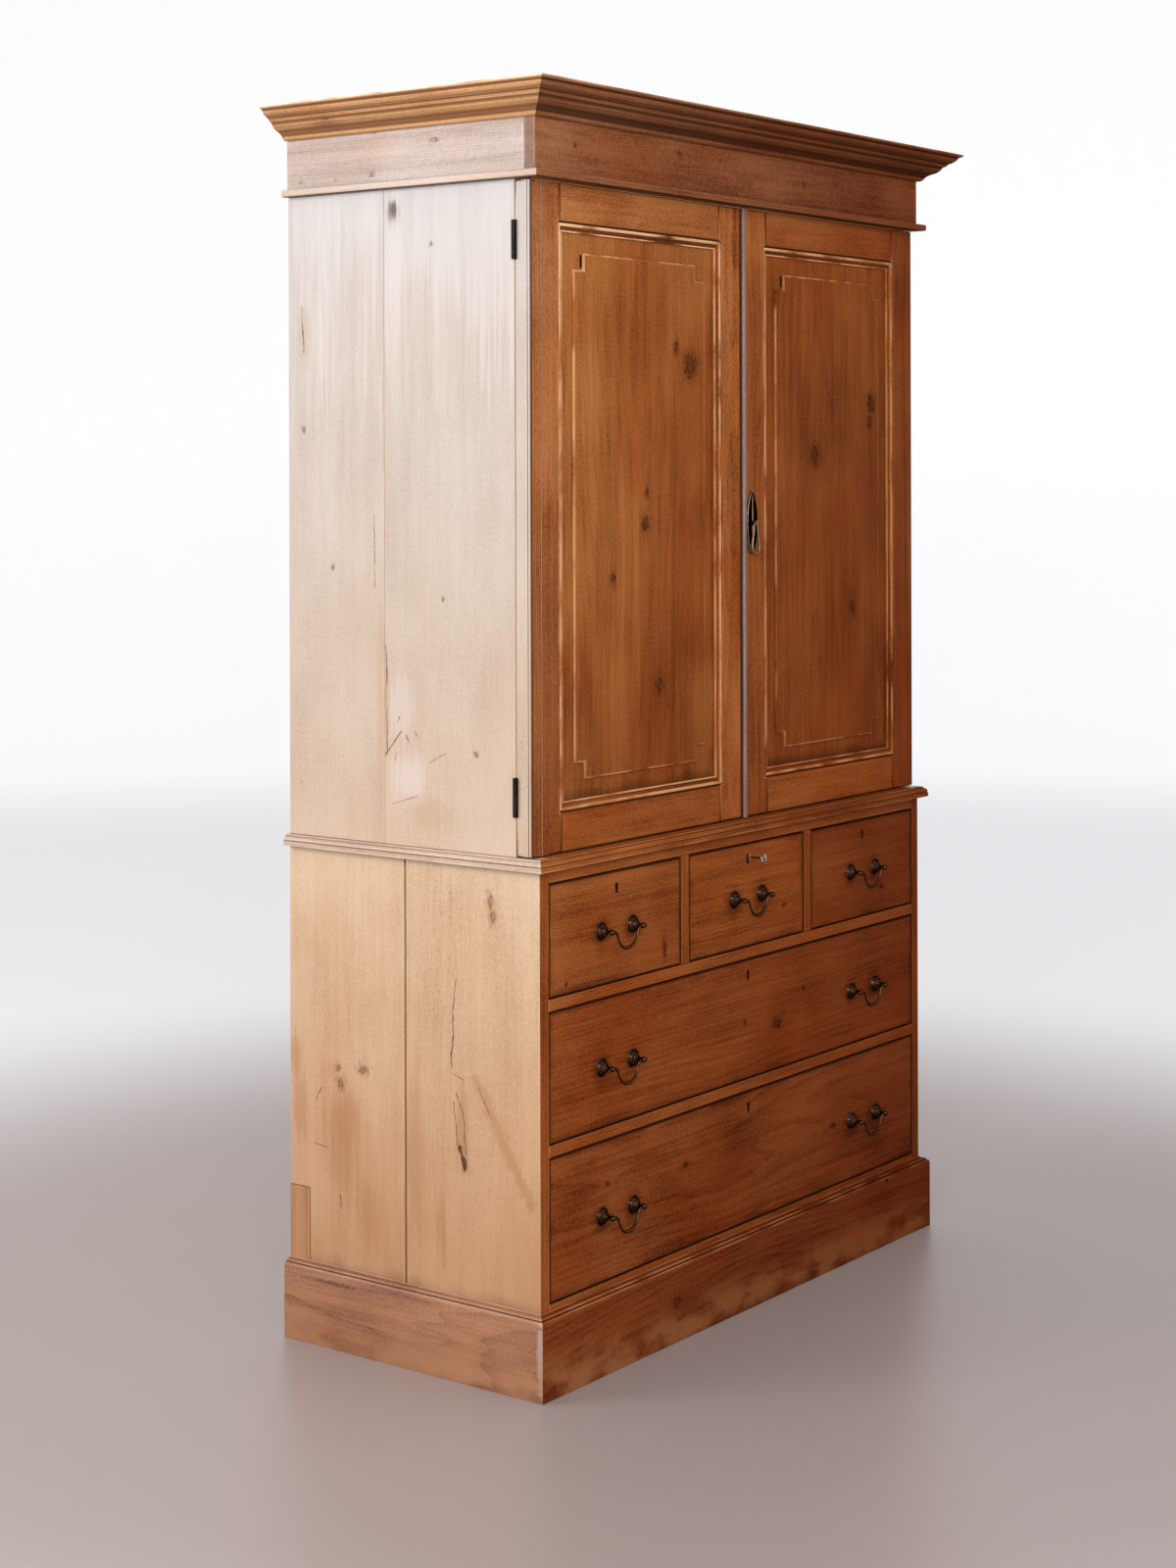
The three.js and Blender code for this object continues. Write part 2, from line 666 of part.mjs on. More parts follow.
// A drawer: its front with handles and lock, and its dovetailed box of sides, bottom and back
function makeDrawer(label, x, opening, floor, frontHeight, handles, handleLow, keyed) {
  const half = opening / 2 - drawerGap;
  const bottom = floor + drawerGap;
  const top = bottom + frontHeight;
  const front = drawerRecess;
  const back = drawerRecess + drawerFrontThickness;
  const keyZ = top - keyholeBelowTop;
  const sideTop = top - drawerSideDrop;
  const sideBottom = floor + drawerRunGap;
  const tailSpan = [bottom + drawerBottomRaise, sideTop - bottom - drawerBottomRaise];

  let face = box([x - half, x + half], [front, back], [bottom, top]);
  for (const side of [-1, 1]) {
    const edge = x + side * half;
    const inner = edge - side * (drawerSideThickness + seat);
    const outer = edge + side * overrun;
    face = cut(face, ...tails(Math.min(outer, inner), Math.max(outer, inner),
      ...tailSpan, seat));
  }
  face = cut(face, keyhole(x, keyZ, [front - overrun, front + keyholeDepth]));
  const handleZ = bottom + frontHeight / 2 - handleLow;
  for (const handleX of handles) {
    for (const side of [-1, 1]) {
      face = join(face, handlePost(handleX + (side * handleSpan) / 2, handleZ));
    }
  }
  const lockTop = top - lockTopMargin;
  const cover = box([x - lockWidth / 2, x + lockWidth / 2], [back - bite, back + lockCover],
    [lockTop - lockHeight, lockTop]);
  face = join(face, cover);
  if (keyed) {
    const bolt = boltPlace();
    const wall = lockCover;
    const chamber = box([x - lockWidth / 2 + wall, x + lockWidth / 2 - wall],
      [front + lockChamberStart, back],
      [lockTop - lockHeight + wall, lockTop - wall]);
    const slot = box([x - boltWidth / 2 - boltClearance, x + boltWidth / 2 + boltClearance],
      [bolt.front - boltClearance, bolt.front + boltThickness + boltClearance],
      [lockTop - lockHeight / 2, top + overrun]);
    face = cut(face, chamber, slot);
  }
  piece(`drawer_front_${label}`, face, drawerPine);

  const boxBack = boardBack - drawerBackClearance;
  const start = back + seat;
  const shell = join(
    box([x - half, x - half + drawerSideThickness], [start, boxBack], [sideBottom, sideTop]),
    box([x + half - drawerSideThickness, x + half], [start, boxBack], [sideBottom, sideTop]),
    box([x - half + bite, x + half - bite], [boxBack - drawerSideThickness, boxBack],
      [sideBottom + drawerBottomRaise, sideTop]),
    box([x - half + bite, x + half - bite], [start, boxBack - bite],
      [sideBottom + drawerBottomRaise, sideBottom + drawerBottomRaise + drawerBottomThickness]),
  );
  const joints = [];
  for (const side of [-1, 1]) {
    const edge = x + side * half;
    const inner = edge - side * drawerSideThickness;
    joints.push(...tails(Math.min(edge, inner), Math.max(edge, inner), ...tailSpan, 0));
  }
  piece(`drawer_box_${label}`, join(shell, ...joints), palePine);
  handles.forEach((handleX, i) => {
    const ends = handles.length > 1 ? ['_left', '_right'] : [''];
    makeBail(`bail_${label}${ends[i]}`, handleX, handleZ);
  });
  if (keyed) makeLock(x, keyZ);
}

// The key and the bolt that it lifts
function makeLock(x, z) {
  const bolt = boltPlace();
  piece('lock_bolt', box([x - boltWidth / 2, x + boltWidth / 2],
    [bolt.front, bolt.front + boltThickness], [bolt.top - boltLength, bolt.top]), iron);
  const chamber = drawerRecess + lockChamberStart;
  const bitFront = chamber + boltClearance;
  const tip = bitFront + keyBitLength;
  const bowCentre = drawerRecess - keyProjection + keyBowLength / 2;
  const shank = rodY(keyRadius, x, [bowCentre + keyBowLength / 2 - keyBowWire, tip], z, turnedSides);
  const collarEnd = drawerRecess - keyCollarStand;
  const collar = rodY(keyCollarRadius, x, [collarEnd - keyCollarLength, collarEnd], z, turnedSides);
  const bit = box([x - keyBitWidth / 2, x + keyBitWidth / 2], [bitFront, tip],
    [z - keyBitReach, z]);
  const around = [];
  for (let i = 0; i < turnedSides; i += 1) {
    const angle = (2 * Math.PI * i) / turnedSides;
    around.push(new THREE.Vector3(x,
      bowCentre + (keyBowLength / 2 - keyBowWire) * Math.cos(angle),
      z + (keyBowHeight / 2 - keyBowWire) * Math.sin(angle)));
  }
  const bow = wire(around, around.map(() => keyBowWire), sideNormal, true);
  piece('key', join(shank, collar, bit, bow), steel);
}

function makeDrawers() {
  const wide = 2 * caseInner;
  const row = [['small_left', -handleRow], ['small_middle', 0], ['small_right', handleRow]];
  for (const [label, x] of row) {
    makeDrawer(label, x, smallOpening, smallFloor, smallDrawerHeight, [x],
      handleBelowCentreSmall, label === 'small_middle');
  }
  makeDrawer('middle', 0, wide, middleFloor, middleDrawerHeight, [-handleRow, handleRow],
    handleBelowCentreMiddle, false);
  makeDrawer('bottom', 0, wide, chestFloor, bottomDrawerHeight, [-handleRow, handleRow],
    handleBelowCentreBottom, false);
}

// Room for one hinge in the wood: its knuckles and one leaf let in flush
function hingeRoom(middle, [y0, y1]) {
  const [z0, z1] = [middle - hingeLength / 2 - seat, middle + hingeLength / 2 + seat];
  const start = -hingeAxisX + knuckleRadius;
  const knuckles = rodZ(knuckleRadius + knuckleClearance, -hingeAxisX, hingeAxisY, [z0, z1],
    knuckleSides);
  const leaf = box([-hingeAxisX - overrun, start + hingeLeafWidth + 2 * seat], [y0, y1], [z0, z1]);
  return [knuckles, leaf];
}

// A butt hinge of five knuckles. The fixed leaf carries three and the pin, the door leaf two.
function makeHinge(label, middle, mirrored) {
  const knuckle = hingeLength / 5;
  const z0 = middle - hingeLength / 2;
  const start = -hingeAxisX + knuckleRadius + seat;
  const leafX = [start, start + hingeLeafWidth];
  const span = (i) => [z0 + i * knuckle + seat / 2, z0 + (i + 1) * knuckle - seat / 2];
  const full = [z0, z0 + hingeLength];

  const fixedY = [cupboardFront, cupboardFront + hingeLeafThickness];
  let fixed = box(leafX, fixedY, full);
  for (const i of [0, 2, 4]) {
    fixed = join(fixed,
      box([-hingeAxisX, start + tabReachShare * hingeLeafWidth], fixedY, span(i)),
      rodZ(knuckleRadius, -hingeAxisX, hingeAxisY, span(i), knuckleSides));
  }
  fixed = join(fixed, rodZ(hingePinRadius, -hingeAxisX, hingeAxisY, full, boreSides));
  piece(`hinge_fixed_${label}`, fixed, iron, mirrored);

  const movingY = [doorBack - hingeLeafThickness, doorBack];
  let moving = box(leafX, movingY, full);
  for (const i of [1, 3]) {
    moving = join(moving,
      box([-hingeAxisX, start + tabReachShare * hingeLeafWidth], movingY, span(i)),
      rodZ(knuckleRadius, -hingeAxisX, hingeAxisY, span(i), knuckleSides));
  }
  moving = cut(moving, rodZ(hingePinRadius + hingePinClearance, -hingeAxisX, hingeAxisY,
    [z0 - overrun, z0 + hingeLength + overrun], boreSides));
  piece(`hinge_door_${label}`, moving, iron, mirrored);
}

function makeCupboardCase() {
  const leafBack = cupboardFront + hingeLeafThickness + seat;
  for (const [name, mirrored] of [['upper_side_left', false], ['upper_side_right', true]]) {
    const board = box([-cupboardHalf, -cupboardInner], [cupboardFront, cupboardBack],
      [cupboardBase, cupboardTop]);
    const rooms = [hinge.top, hinge.bottom].flatMap(
      (middle) => hingeRoom(middle, [cupboardFront - overrun, leafBack]));
    piece(name, cut(board, ...rooms), palePine, mirrored);
  }
  const half = cupboardInner - seat;
  const boardY = [cupboardFront, cupboardBackFront - seat];
  piece('upper_bottom', box([-half, half], boardY,
    [cupboardBase, cupboardBase + cupboardTopThickness]), pine);
  piece('upper_top', box([-half, half], boardY,
    [cupboardTop - cupboardTopThickness, cupboardTop]), pine);
  piece('upper_back', box([-half, half], [cupboardBackFront, cupboardBack],
    [cupboardBase, cupboardTop]), palePine);
  const floor = cupboardBase + cupboardTopThickness;
  const room = cupboardTop - cupboardTopThickness - floor;
  const rise = (room + shelfThickness) / 3;
  ['shelf_lower', 'shelf_upper'].forEach((name, i) => {
    const top = floor + (i + 1) * rise;
    piece(name, box([-half, half], [cupboardFront + shelfSetback, cupboardBackFront - seat],
      [top - shelfThickness, top]), palePine);
  });
}

// The cutter that works the moulding round a door's opening, and sinks the margin in front
function mouldCutter([x0, x1], [z0, z1]) {
  const section = [
    ...panelMouldShares.map(([inset, sink]) => [
      inset * panelMouldWidth, doorSetback + sink * panelSink,
    ]),
    [panelMouldWidth + overrun, doorSetback + panelSink],
    [panelMouldWidth + overrun, doorSetback - overrun],
    [0, doorSetback - overrun],
  ];
  return mitredRing(section, [x0, x1], [z0, z1]);
}

// A door is two stiles, two rails tenoned into them and a fielded panel held in grooves
function makeDoor(side, meetingFlat, mirrored) {
  const outer = -cupboardHalf;
  const inner = outer + doorWidth;
  const thick = [doorSetback, doorBack];
  const mouldX = [outer + hangingStileFlat, inner - meetingFlat];
  const mouldZ = [doorBottom + bottomRailFlat, doorTop - topRailFlat];
  const sightX = [mouldX[0] + panelMouldWidth, mouldX[1] - panelMouldWidth];
  const sightZ = [mouldZ[0] + panelMouldWidth, mouldZ[1] - panelMouldWidth];
  const jointX = [mouldX[0] + hangingJointLap, mouldX[1] - meetingJointLap];
  const work = mouldCutter(mouldX, mouldZ);

  const panelY = [doorSetback + panelSink, doorSetback + panelSink + panelThickness];
  const grooveY = [panelY[0] - seat, panelY[1] + seat];
  const groove = box([sightX[0] - panelGroove - seat, sightX[1] + panelGroove + seat], grooveY,
    [sightZ[0] - panelGroove - seat, sightZ[1] + panelGroove + seat]);

  // Tenons lie in the panel's plane and stop short of the stiles' outer edges
  const tenonY = [panelY[0] + (panelThickness - tenonThickness) / 2,
    panelY[0] + (panelThickness + tenonThickness) / 2];
  const tenonX = [jointX[0] - tenonLength, jointX[1] + tenonLength];
  const tenonZ = {
    bottom: [doorBottom + tenonMargin, mouldZ[0] - tenonMargin],
    top: [mouldZ[1] + tenonMargin, doorTop - tenonMargin],
  };
  const grown = ([from, to]) => [from - seat, to + seat];

  const stile = (x, joint, mould, sight) => {
    const outline = [
      [x, doorBottom], [joint, doorBottom], [joint, mouldZ[0]], [mould, mouldZ[0]],
      [sight, sightZ[0]], [sight, sightZ[1]], [mould, mouldZ[1]], [joint, mouldZ[1]],
      [joint, doorTop], [x, doorTop],
    ];
    const mortises = Object.values(tenonZ).map(
      (span) => box(grown(tenonX), grown(tenonY), grown(span)));
    return cut(prismY(outline, thick), work, groove, ...mortises);
  };

  const faceQuirk = box(
    [outer + faceQuirkFromEdge, outer + faceQuirkFromEdge + quirkWidth],
    [doorSetback - overrun, doorSetback + quirkDepth],
    [doorBottom - overrun, doorTop + overrun]);
  const edgeQuirk = box([outer - overrun, outer + quirkDepth],
    [doorSetback + edgeQuirkFromFront, doorSetback + edgeQuirkFromFront + quirkWidth],
    [doorBottom - overrun, doorTop + overrun]);
  const rooms = [hinge.top, hinge.bottom].flatMap((middle) => hingeRoom(middle,
    [doorBack - hingeLeafThickness - seat, doorBack + overrun]));
  piece(`hanging_stile_${side}`,
    cut(stile(outer, jointX[0], mouldX[0], sightX[0]), faceQuirk, edgeQuirk, ...rooms),
    pine, mirrored);
  piece(`meeting_stile_${side}`, stile(inner, jointX[1], mouldX[1], sightX[1]), pine, mirrored);

  // A rail's moulded ends lap the stiles and meet them on the mitre
  const mitreGap = Math.SQRT2 * seat;
  const rail = (z, mouldEdge, sight, span) => {
    const ear = mouldEdge + Math.sign(sight - mouldEdge) * seat;
    const outline = [
      [jointX[0] + seat, z], [jointX[0] + seat, ear], [mouldX[0] + seat + mitreGap, ear],
      [sightX[0] + mitreGap, sight], [sightX[1] - mitreGap, sight],
      [mouldX[1] - seat - mitreGap, ear], [jointX[1] - seat, ear], [jointX[1] - seat, z],
    ];
    const tenon = box(tenonX, tenonY, span);
    return join(cut(prismY(outline, thick), work, groove), tenon);
  };
  piece(`bottom_rail_${side}`, rail(doorBottom, mouldZ[0], sightZ[0], tenonZ.bottom), pine,
    mirrored);
  piece(`top_rail_${side}`, rail(doorTop, mouldZ[1], sightZ[1], tenonZ.top), pine, mirrored);

  piece(`panel_${side}`, makePanel(sightX, sightZ, panelY), pine, mirrored);
}

// The panel: a thin board whose middle is raised, with square notches in its four corners
function makePanel(sightX, sightZ, panelY) {
  const reach = panelGroove;
  const board = box([sightX[0] - reach, sightX[1] + reach], panelY,
    [sightZ[0] - reach, sightZ[1] + reach]);
  const outline = (inset) => {
    const [x0, x1] = [sightX[0] + fieldMargin + inset, sightX[1] - fieldMargin - inset];
    const [z0, z1] = [sightZ[0] + fieldMargin + inset, sightZ[1] - fieldMargin - inset];
    const n = fieldNotch;
    return [
      [x0 + n, z0], [x1 - n, z0], [x1 - n, z0 + n], [x1, z0 + n], [x1, z1 - n], [x1 - n, z1 - n],
      [x1 - n, z1], [x0 + n, z1], [x0 + n, z1 - n], [x0, z1 - n], [x0, z0 + n], [x0 + n, z0 + n],
    ];
  };
  const ring = (inset, y) => outline(inset).map(([x, z]) => new THREE.Vector3(x, y, z));
  const rings = [
    ring(0, panelY[0] + bite), ring(0, panelY[0]), ring(fieldBevel, panelY[0] - fieldRaise),
  ];
  return join(board, solid(loft(rings, outline(0))));
}

function makeAstragal() {
  const edge = doorMeetingGap / 2;
  const outline = [
    [edge, doorSetback - seat],
    ...astragalShares.map(([across, proud]) => [
      edge + across * astragalWidth, doorSetback - seat - proud * astragalProud,
    ]),
    [edge + astragalWidth, doorSetback - seat],
  ];
  piece('astragal', prismZ(outline, [doorBottom, doorTop]), pine);
}

// An almond-shaped back plate with a raised rim and ridge, and a boss that the drop hangs in
function makePull() {
  const x = doorMeetingGap / 2 + pullFromEdge;
  const pivotZ = doorBottom + pullAboveDoorBottom;
  const middle = pivotZ + pullPivotBelowMiddle;
  const face = doorSetback - seat;
  const outline = (inset) => {
    const [halfX, halfZ] = [pullWidth / 2 - inset, pullHeight / 2 - 2 * inset];
    const right = pullShares.map(([a, b]) => [x + a * halfX, middle + b * halfZ]);
    const left = pullShares.slice(1).reverse().map(([a, b]) => [x - a * halfX, middle + b * halfZ]);
    return [...right, [x, middle - halfZ], ...left];
  };
  const top = face - pullThickness;
  const plate = prismY(outline(0), [top - pullRimRise, face]);
  const well = prismY(outline(pullRimWidth), [top - pullRimRise - overrun, top]);
  const ridgeHalf = pullHeight / 2 - 2 * pullRimWidth;
  const ridge = rodZ(pullRidgeRadius, x, top, [middle - ridgeHalf, middle + ridgeHalf], boreSides);
  const pivotY = face - pullPivotStand;
  const bossTop = pivotY - pullBossHeight / 2;
  const boss = box([x - pullBossWidth / 2, x + pullBossWidth / 2], [bossTop, top + bite],
    [pivotZ - pullBossHeight / 2, pivotZ + pullBossHeight / 2]);
  const eye = rodX(pullPivotRadius + pullPivotClearance,
    [x - pullBossWidth, x + pullBossWidth], pivotY, pivotZ, boreSides);
  const behind = box([x - pullWidth, x + pullWidth], [face, face + overrun],
    [middle - pullHeight, middle + pullHeight]);
  piece('pull_plate', cut(join(cut(plate, well), ridge, boss), eye, behind), brass);

  // The pear-shaped loop runs straight through the boss and widens towards its foot
  const half = dropWidth / 2;
  const side = dropShares.map(([out, down, share]) => [
    new THREE.Vector3(out * half, 0, -down * dropLength), share,
  ]);
  const other = side.slice().reverse().map(
    ([point, share]) => [new THREE.Vector3(-point.x, 0, point.z), share]);
  const loop = [...side, ...other];
  const points = loop.map(([point]) => point.clone().add(new THREE.Vector3(x, pivotY, pivotZ)));
  const radii = loop.map(
    ([, share]) => pullPivotRadius + share * (dropThickRadius - pullPivotRadius));
  piece('pull_drop', wire(points, radii, faceNormal, true), brass);
}

function makeCupboardDoors() {
  for (const [side, meetingFlat, mirrored] of [
    ['left', meetingStileFlatLeft, false], ['right', meetingStileFlatRight, true],
  ]) {
    makeDoor(side, meetingFlat, mirrored);
    makeHinge(`${side}_top`, hinge.top, mirrored);
    makeHinge(`${side}_bottom`, hinge.bottom, mirrored);
  }
  makeAstragal();
  makePull();
}

// The lift-off cornice frame: frieze boards with a bead under them, and the cornice round them
function makeCornice() {
  const beadTop = friezeBottom + beadThickness;
  const boardTop = corniceBottom + friezeBehindCornice;
  const section = [
    [-friezeThickness, friezeBottom], [beadProjection - beadRound, friezeBottom],
    [beadProjection, friezeBottom + beadRound], [beadProjection, beadTop - beadRound],
    [beadProjection - beadRound, beadTop], [0, beadTop], [0, boardTop],
    [-friezeThickness, boardTop],
  ];
  const run = mitredRun(section, -friezeHalf, friezeHalf, friezeFront, cupboardBack);
  const railHalf = friezeHalf - friezeThickness + bite;
  const rail = box([-railHalf, railHalf], [cupboardBack - friezeThickness, cupboardBack],
    [friezeBottom, boardTop]);
  piece('frieze_frame', join(run, rail), pine);

  const moulding = [
    [seat, corniceBottom],
    ...corniceShares.map(([out, up]) => [
      out * corniceProjection, corniceBottom + up * corniceHeight,
    ]),
    [seat, corniceTop],
  ];
  piece('cornice_moulding',
    mitredRun(moulding, -friezeHalf, friezeHalf, friezeFront, cupboardBack), pine);
}

makePlinth();
makeChestSides();
makeChestBoards();
makeChestTop();
makePartitions();
makeWaist();
makeDrawers();
makeCupboardCase();
makeCupboardDoors();
makeCornice();

export default press;
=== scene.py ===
import math

import bmesh
import bpy
from mathutils import Matrix, Vector


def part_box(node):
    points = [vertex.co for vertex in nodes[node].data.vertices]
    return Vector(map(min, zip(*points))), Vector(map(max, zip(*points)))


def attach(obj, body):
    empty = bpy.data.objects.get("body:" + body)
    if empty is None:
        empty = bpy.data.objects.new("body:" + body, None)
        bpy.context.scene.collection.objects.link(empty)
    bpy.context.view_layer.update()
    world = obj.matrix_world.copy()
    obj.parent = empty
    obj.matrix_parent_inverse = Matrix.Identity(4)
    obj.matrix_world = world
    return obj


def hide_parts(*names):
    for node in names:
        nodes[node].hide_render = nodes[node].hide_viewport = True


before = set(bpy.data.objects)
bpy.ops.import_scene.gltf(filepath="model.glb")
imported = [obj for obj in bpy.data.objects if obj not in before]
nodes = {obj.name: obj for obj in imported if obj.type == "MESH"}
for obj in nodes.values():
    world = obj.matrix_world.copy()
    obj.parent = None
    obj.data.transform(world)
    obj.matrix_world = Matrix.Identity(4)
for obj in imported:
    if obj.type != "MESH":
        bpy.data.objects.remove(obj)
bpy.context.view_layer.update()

# The room: a pale floor that curves up into a pale wall all round, a tall window behind at the
# left, a weaker light in front and an even sky. The camera stands where the photograph was taken.
photo_camera = bpy.data.cameras.new("camera")
photo_camera.sensor_width = 36
photo_camera.lens = 60.52
photo_camera.shift_y = -0.1991
camera_place = (-3.9594, -2.841, 1.4931)
camera_turn, camera_lean = -0.9294, -0.0028
camera = bpy.data.objects.new("camera", photo_camera)
camera.matrix_world = (
    Matrix.Translation(camera_place)
    @ Matrix.Rotation(camera_turn, 4, "Z")
    @ Matrix.Rotation(math.pi / 2, 4, "X")
    @ Matrix.Rotation(camera_lean, 4, "Z")
)
bpy.context.scene.collection.objects.link(camera)
bpy.context.scene.camera = camera
bpy.context.scene.view_settings.view_transform = "Standard"

floor_radius = 8.6
cove_radius = 1.6
wall_top = 7.0
cove_steps = 10


def feed(socket, value):
    if isinstance(value, bpy.types.NodeSocket):
        socket.id_data.links.new(value, socket)
    else:
        socket.default_value = value


def node(tree, kind, inputs=(), out=0, **settings):
    """Adds a shader node, fills its sockets by place or by name, and gives one of its outputs."""
    new = tree.nodes.new("ShaderNode" + kind)
    for name, value in settings.items():
        setattr(new, name, value)
    for key, value in inputs.items() if isinstance(inputs, dict) else enumerate(inputs):
        feed(new.inputs[key], value)
    return new.outputs[out]


def tree_of(*values):
    """The node tree that the first socket among these values belongs to."""
    return next(value.id_data for value in values if isinstance(value, bpy.types.NodeSocket))


def vector(how, *values):
    gives_number = how in ("LENGTH", "DOT_PRODUCT")
    return node(tree_of(*values), "VectorMath", values, out=int(gives_number), operation=how)


def blank(name, roughness, metallic=0.0, specular=0.5):
    material = bpy.data.materials.new(name)
    material.use_nodes = True
    shader = material.node_tree.nodes["Principled BSDF"]
    shader.inputs["Roughness"].default_value = roughness
    shader.inputs["Metallic"].default_value = metallic
    shader.inputs["Specular IOR Level"].default_value = specular
    return material, material.node_tree, shader


bm = bmesh.new()
outline = [(0, 0), (floor_radius, 0)]
for step in range(1, cove_steps + 1):
    turn = step * math.pi / 2 / cove_steps
    outline.append((floor_radius + cove_radius * math.sin(turn),
                    cove_radius * (1 - math.cos(turn))))
outline.append((floor_radius + cove_radius, wall_top))
line = [bm.verts.new((out, 0, up)) for out, up in outline]
rim = [bm.edges.new(pair) for pair in zip(line, line[1:])]
bmesh.ops.spin(bm, geom=line + rim, cent=(0, 0, 0), axis=(0, 0, 1), dvec=(0, 0, 0),
               angle=2 * math.pi, steps=96, use_merge=True, use_duplicate=False)
bmesh.ops.remove_doubles(bm, verts=bm.verts, dist=1e-5)
bmesh.ops.recalc_face_normals(bm, faces=bm.faces)
bmesh.ops.reverse_faces(bm, faces=bm.faces)
for face in bm.faces:
    face.smooth = True
floor_mesh = bpy.data.meshes.new("floor")
bm.to_mesh(floor_mesh)
bm.free()
floor_paint, floor_tree, floor_shader = blank("floor_paint", 0.38)
far = vector("LENGTH", node(floor_tree, "TexCoord", out=3))
pale = node(floor_tree, "MapRange", {"Value": far, "From Min": 1.25, "From Max": 3.0},
            interpolation_type="SMOOTHSTEP")
glow = node(floor_tree, "MapRange",
            {"Value": far, "From Min": 6.0, "From Max": 10.0, "To Max": 0.22},
            interpolation_type="SMOOTHSTEP")
feed(floor_shader.inputs["Base Color"],
     node(floor_tree, "Mix", {0: pale, 6: (0.34, 0.275, 0.26, 1), 7: (0.86, 0.855, 0.86, 1)},
          out=2, data_type="RGBA"))
floor_shader.inputs["Emission Color"].default_value = (1, 1, 1, 1)
feed(floor_shader.inputs["Emission Strength"], glow)
floor_mesh.materials.append(floor_paint)
floor = bpy.data.objects.new("floor", floor_mesh)
bpy.context.scene.collection.objects.link(floor)

sky = bpy.data.worlds.new("sky")
bpy.context.scene.world = sky
sky.use_nodes = True
sky_inputs = sky.node_tree.nodes["Background"].inputs
sky_inputs["Color"].default_value = (0.95, 0.97, 1.0, 1)
sky_inputs["Strength"].default_value = 0.78


def lamp(name, place, aim, width, height, power, colour):
    light = bpy.data.lights.new(name, "AREA")
    light.shape = "RECTANGLE"
    light.size, light.size_y = width, height
    light.energy = power
    light.color = colour
    lit = bpy.data.objects.new(name, light)
    way = Vector(aim) - Vector(place)
    turn = way.to_track_quat("-Z", "Y").to_matrix().to_4x4()
    lit.matrix_world = Matrix.Translation(place) @ turn
    lit.visible_camera = False
    bpy.context.scene.collection.objects.link(lit)


lamp("window", (-4.6, 3.4, 2.4), (-0.6, 0.0, 1.5), 2.2, 2.2, 122, (1.0, 0.985, 0.97))
lamp("front_fill", (-3.4, -2.2, 2.5), (-0.4, -0.2, 1.3), 1.6, 1.4, 82, (1.0, 0.98, 0.96))


# The plinth: three lengths of pine board mitred at the front corners, with a worked top edge and a
# small bead on it, and a plain rail across the back. It carries old wax and scuffs, and is darker
# along the floor, with dirt and painted shade.
case_half = 0.61
case_face, case_back = (corner.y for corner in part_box("lower_side_left"))
case_plan = (case_half, case_face, case_back)
both_sides = (("left", -1), ("right", 1))
hairline = 0.0002
# The dark of cracks, knot rims, hollows and joints: dirt, and painted shade in the hollows and
# joints.
dirt_and_shade_tone = (0.055, 0.022, 0.01)
knot_heart = (0.13, 0.038, 0.013)


def calc(how, *values):
    return node(tree_of(*values), "Math", values, operation=how)


def remap(value, low, high, to_low=0.0, to_high=1.0):
    ends = {"From Min": low, "From Max": high, "To Min": to_low, "To Max": to_high}
    return node(tree_of(value), "MapRange", {"Value": value, **ends},
                interpolation_type="SMOOTHSTEP")


def tint(share, first, second, how="MIX"):
    colours = [c if isinstance(c, bpy.types.NodeSocket) else (*c, 1) for c in (first, second)]
    return node(tree_of(share, first, second), "Mix", {0: share, 6: colours[0], 7: colours[1]},
                out=2, data_type="RGBA", blend_type=how)


def cloud(place, stretch, detail=2.0):
    moved = vector("MULTIPLY", place, stretch)
    return node(tree_of(place), "TexNoise", {"Vector": moved, "Scale": 1.0, "Detail": detail})


def oval(flat, across, along, wide, long):
    """How far out of an oval each place lies: 0 in its middle and 1 on its rim."""
    shift = (-across / wide, 0, -along / long)
    return vector("LENGTH", vector("MULTIPLY_ADD", flat, (1 / wide, 0, 1 / long), shift))


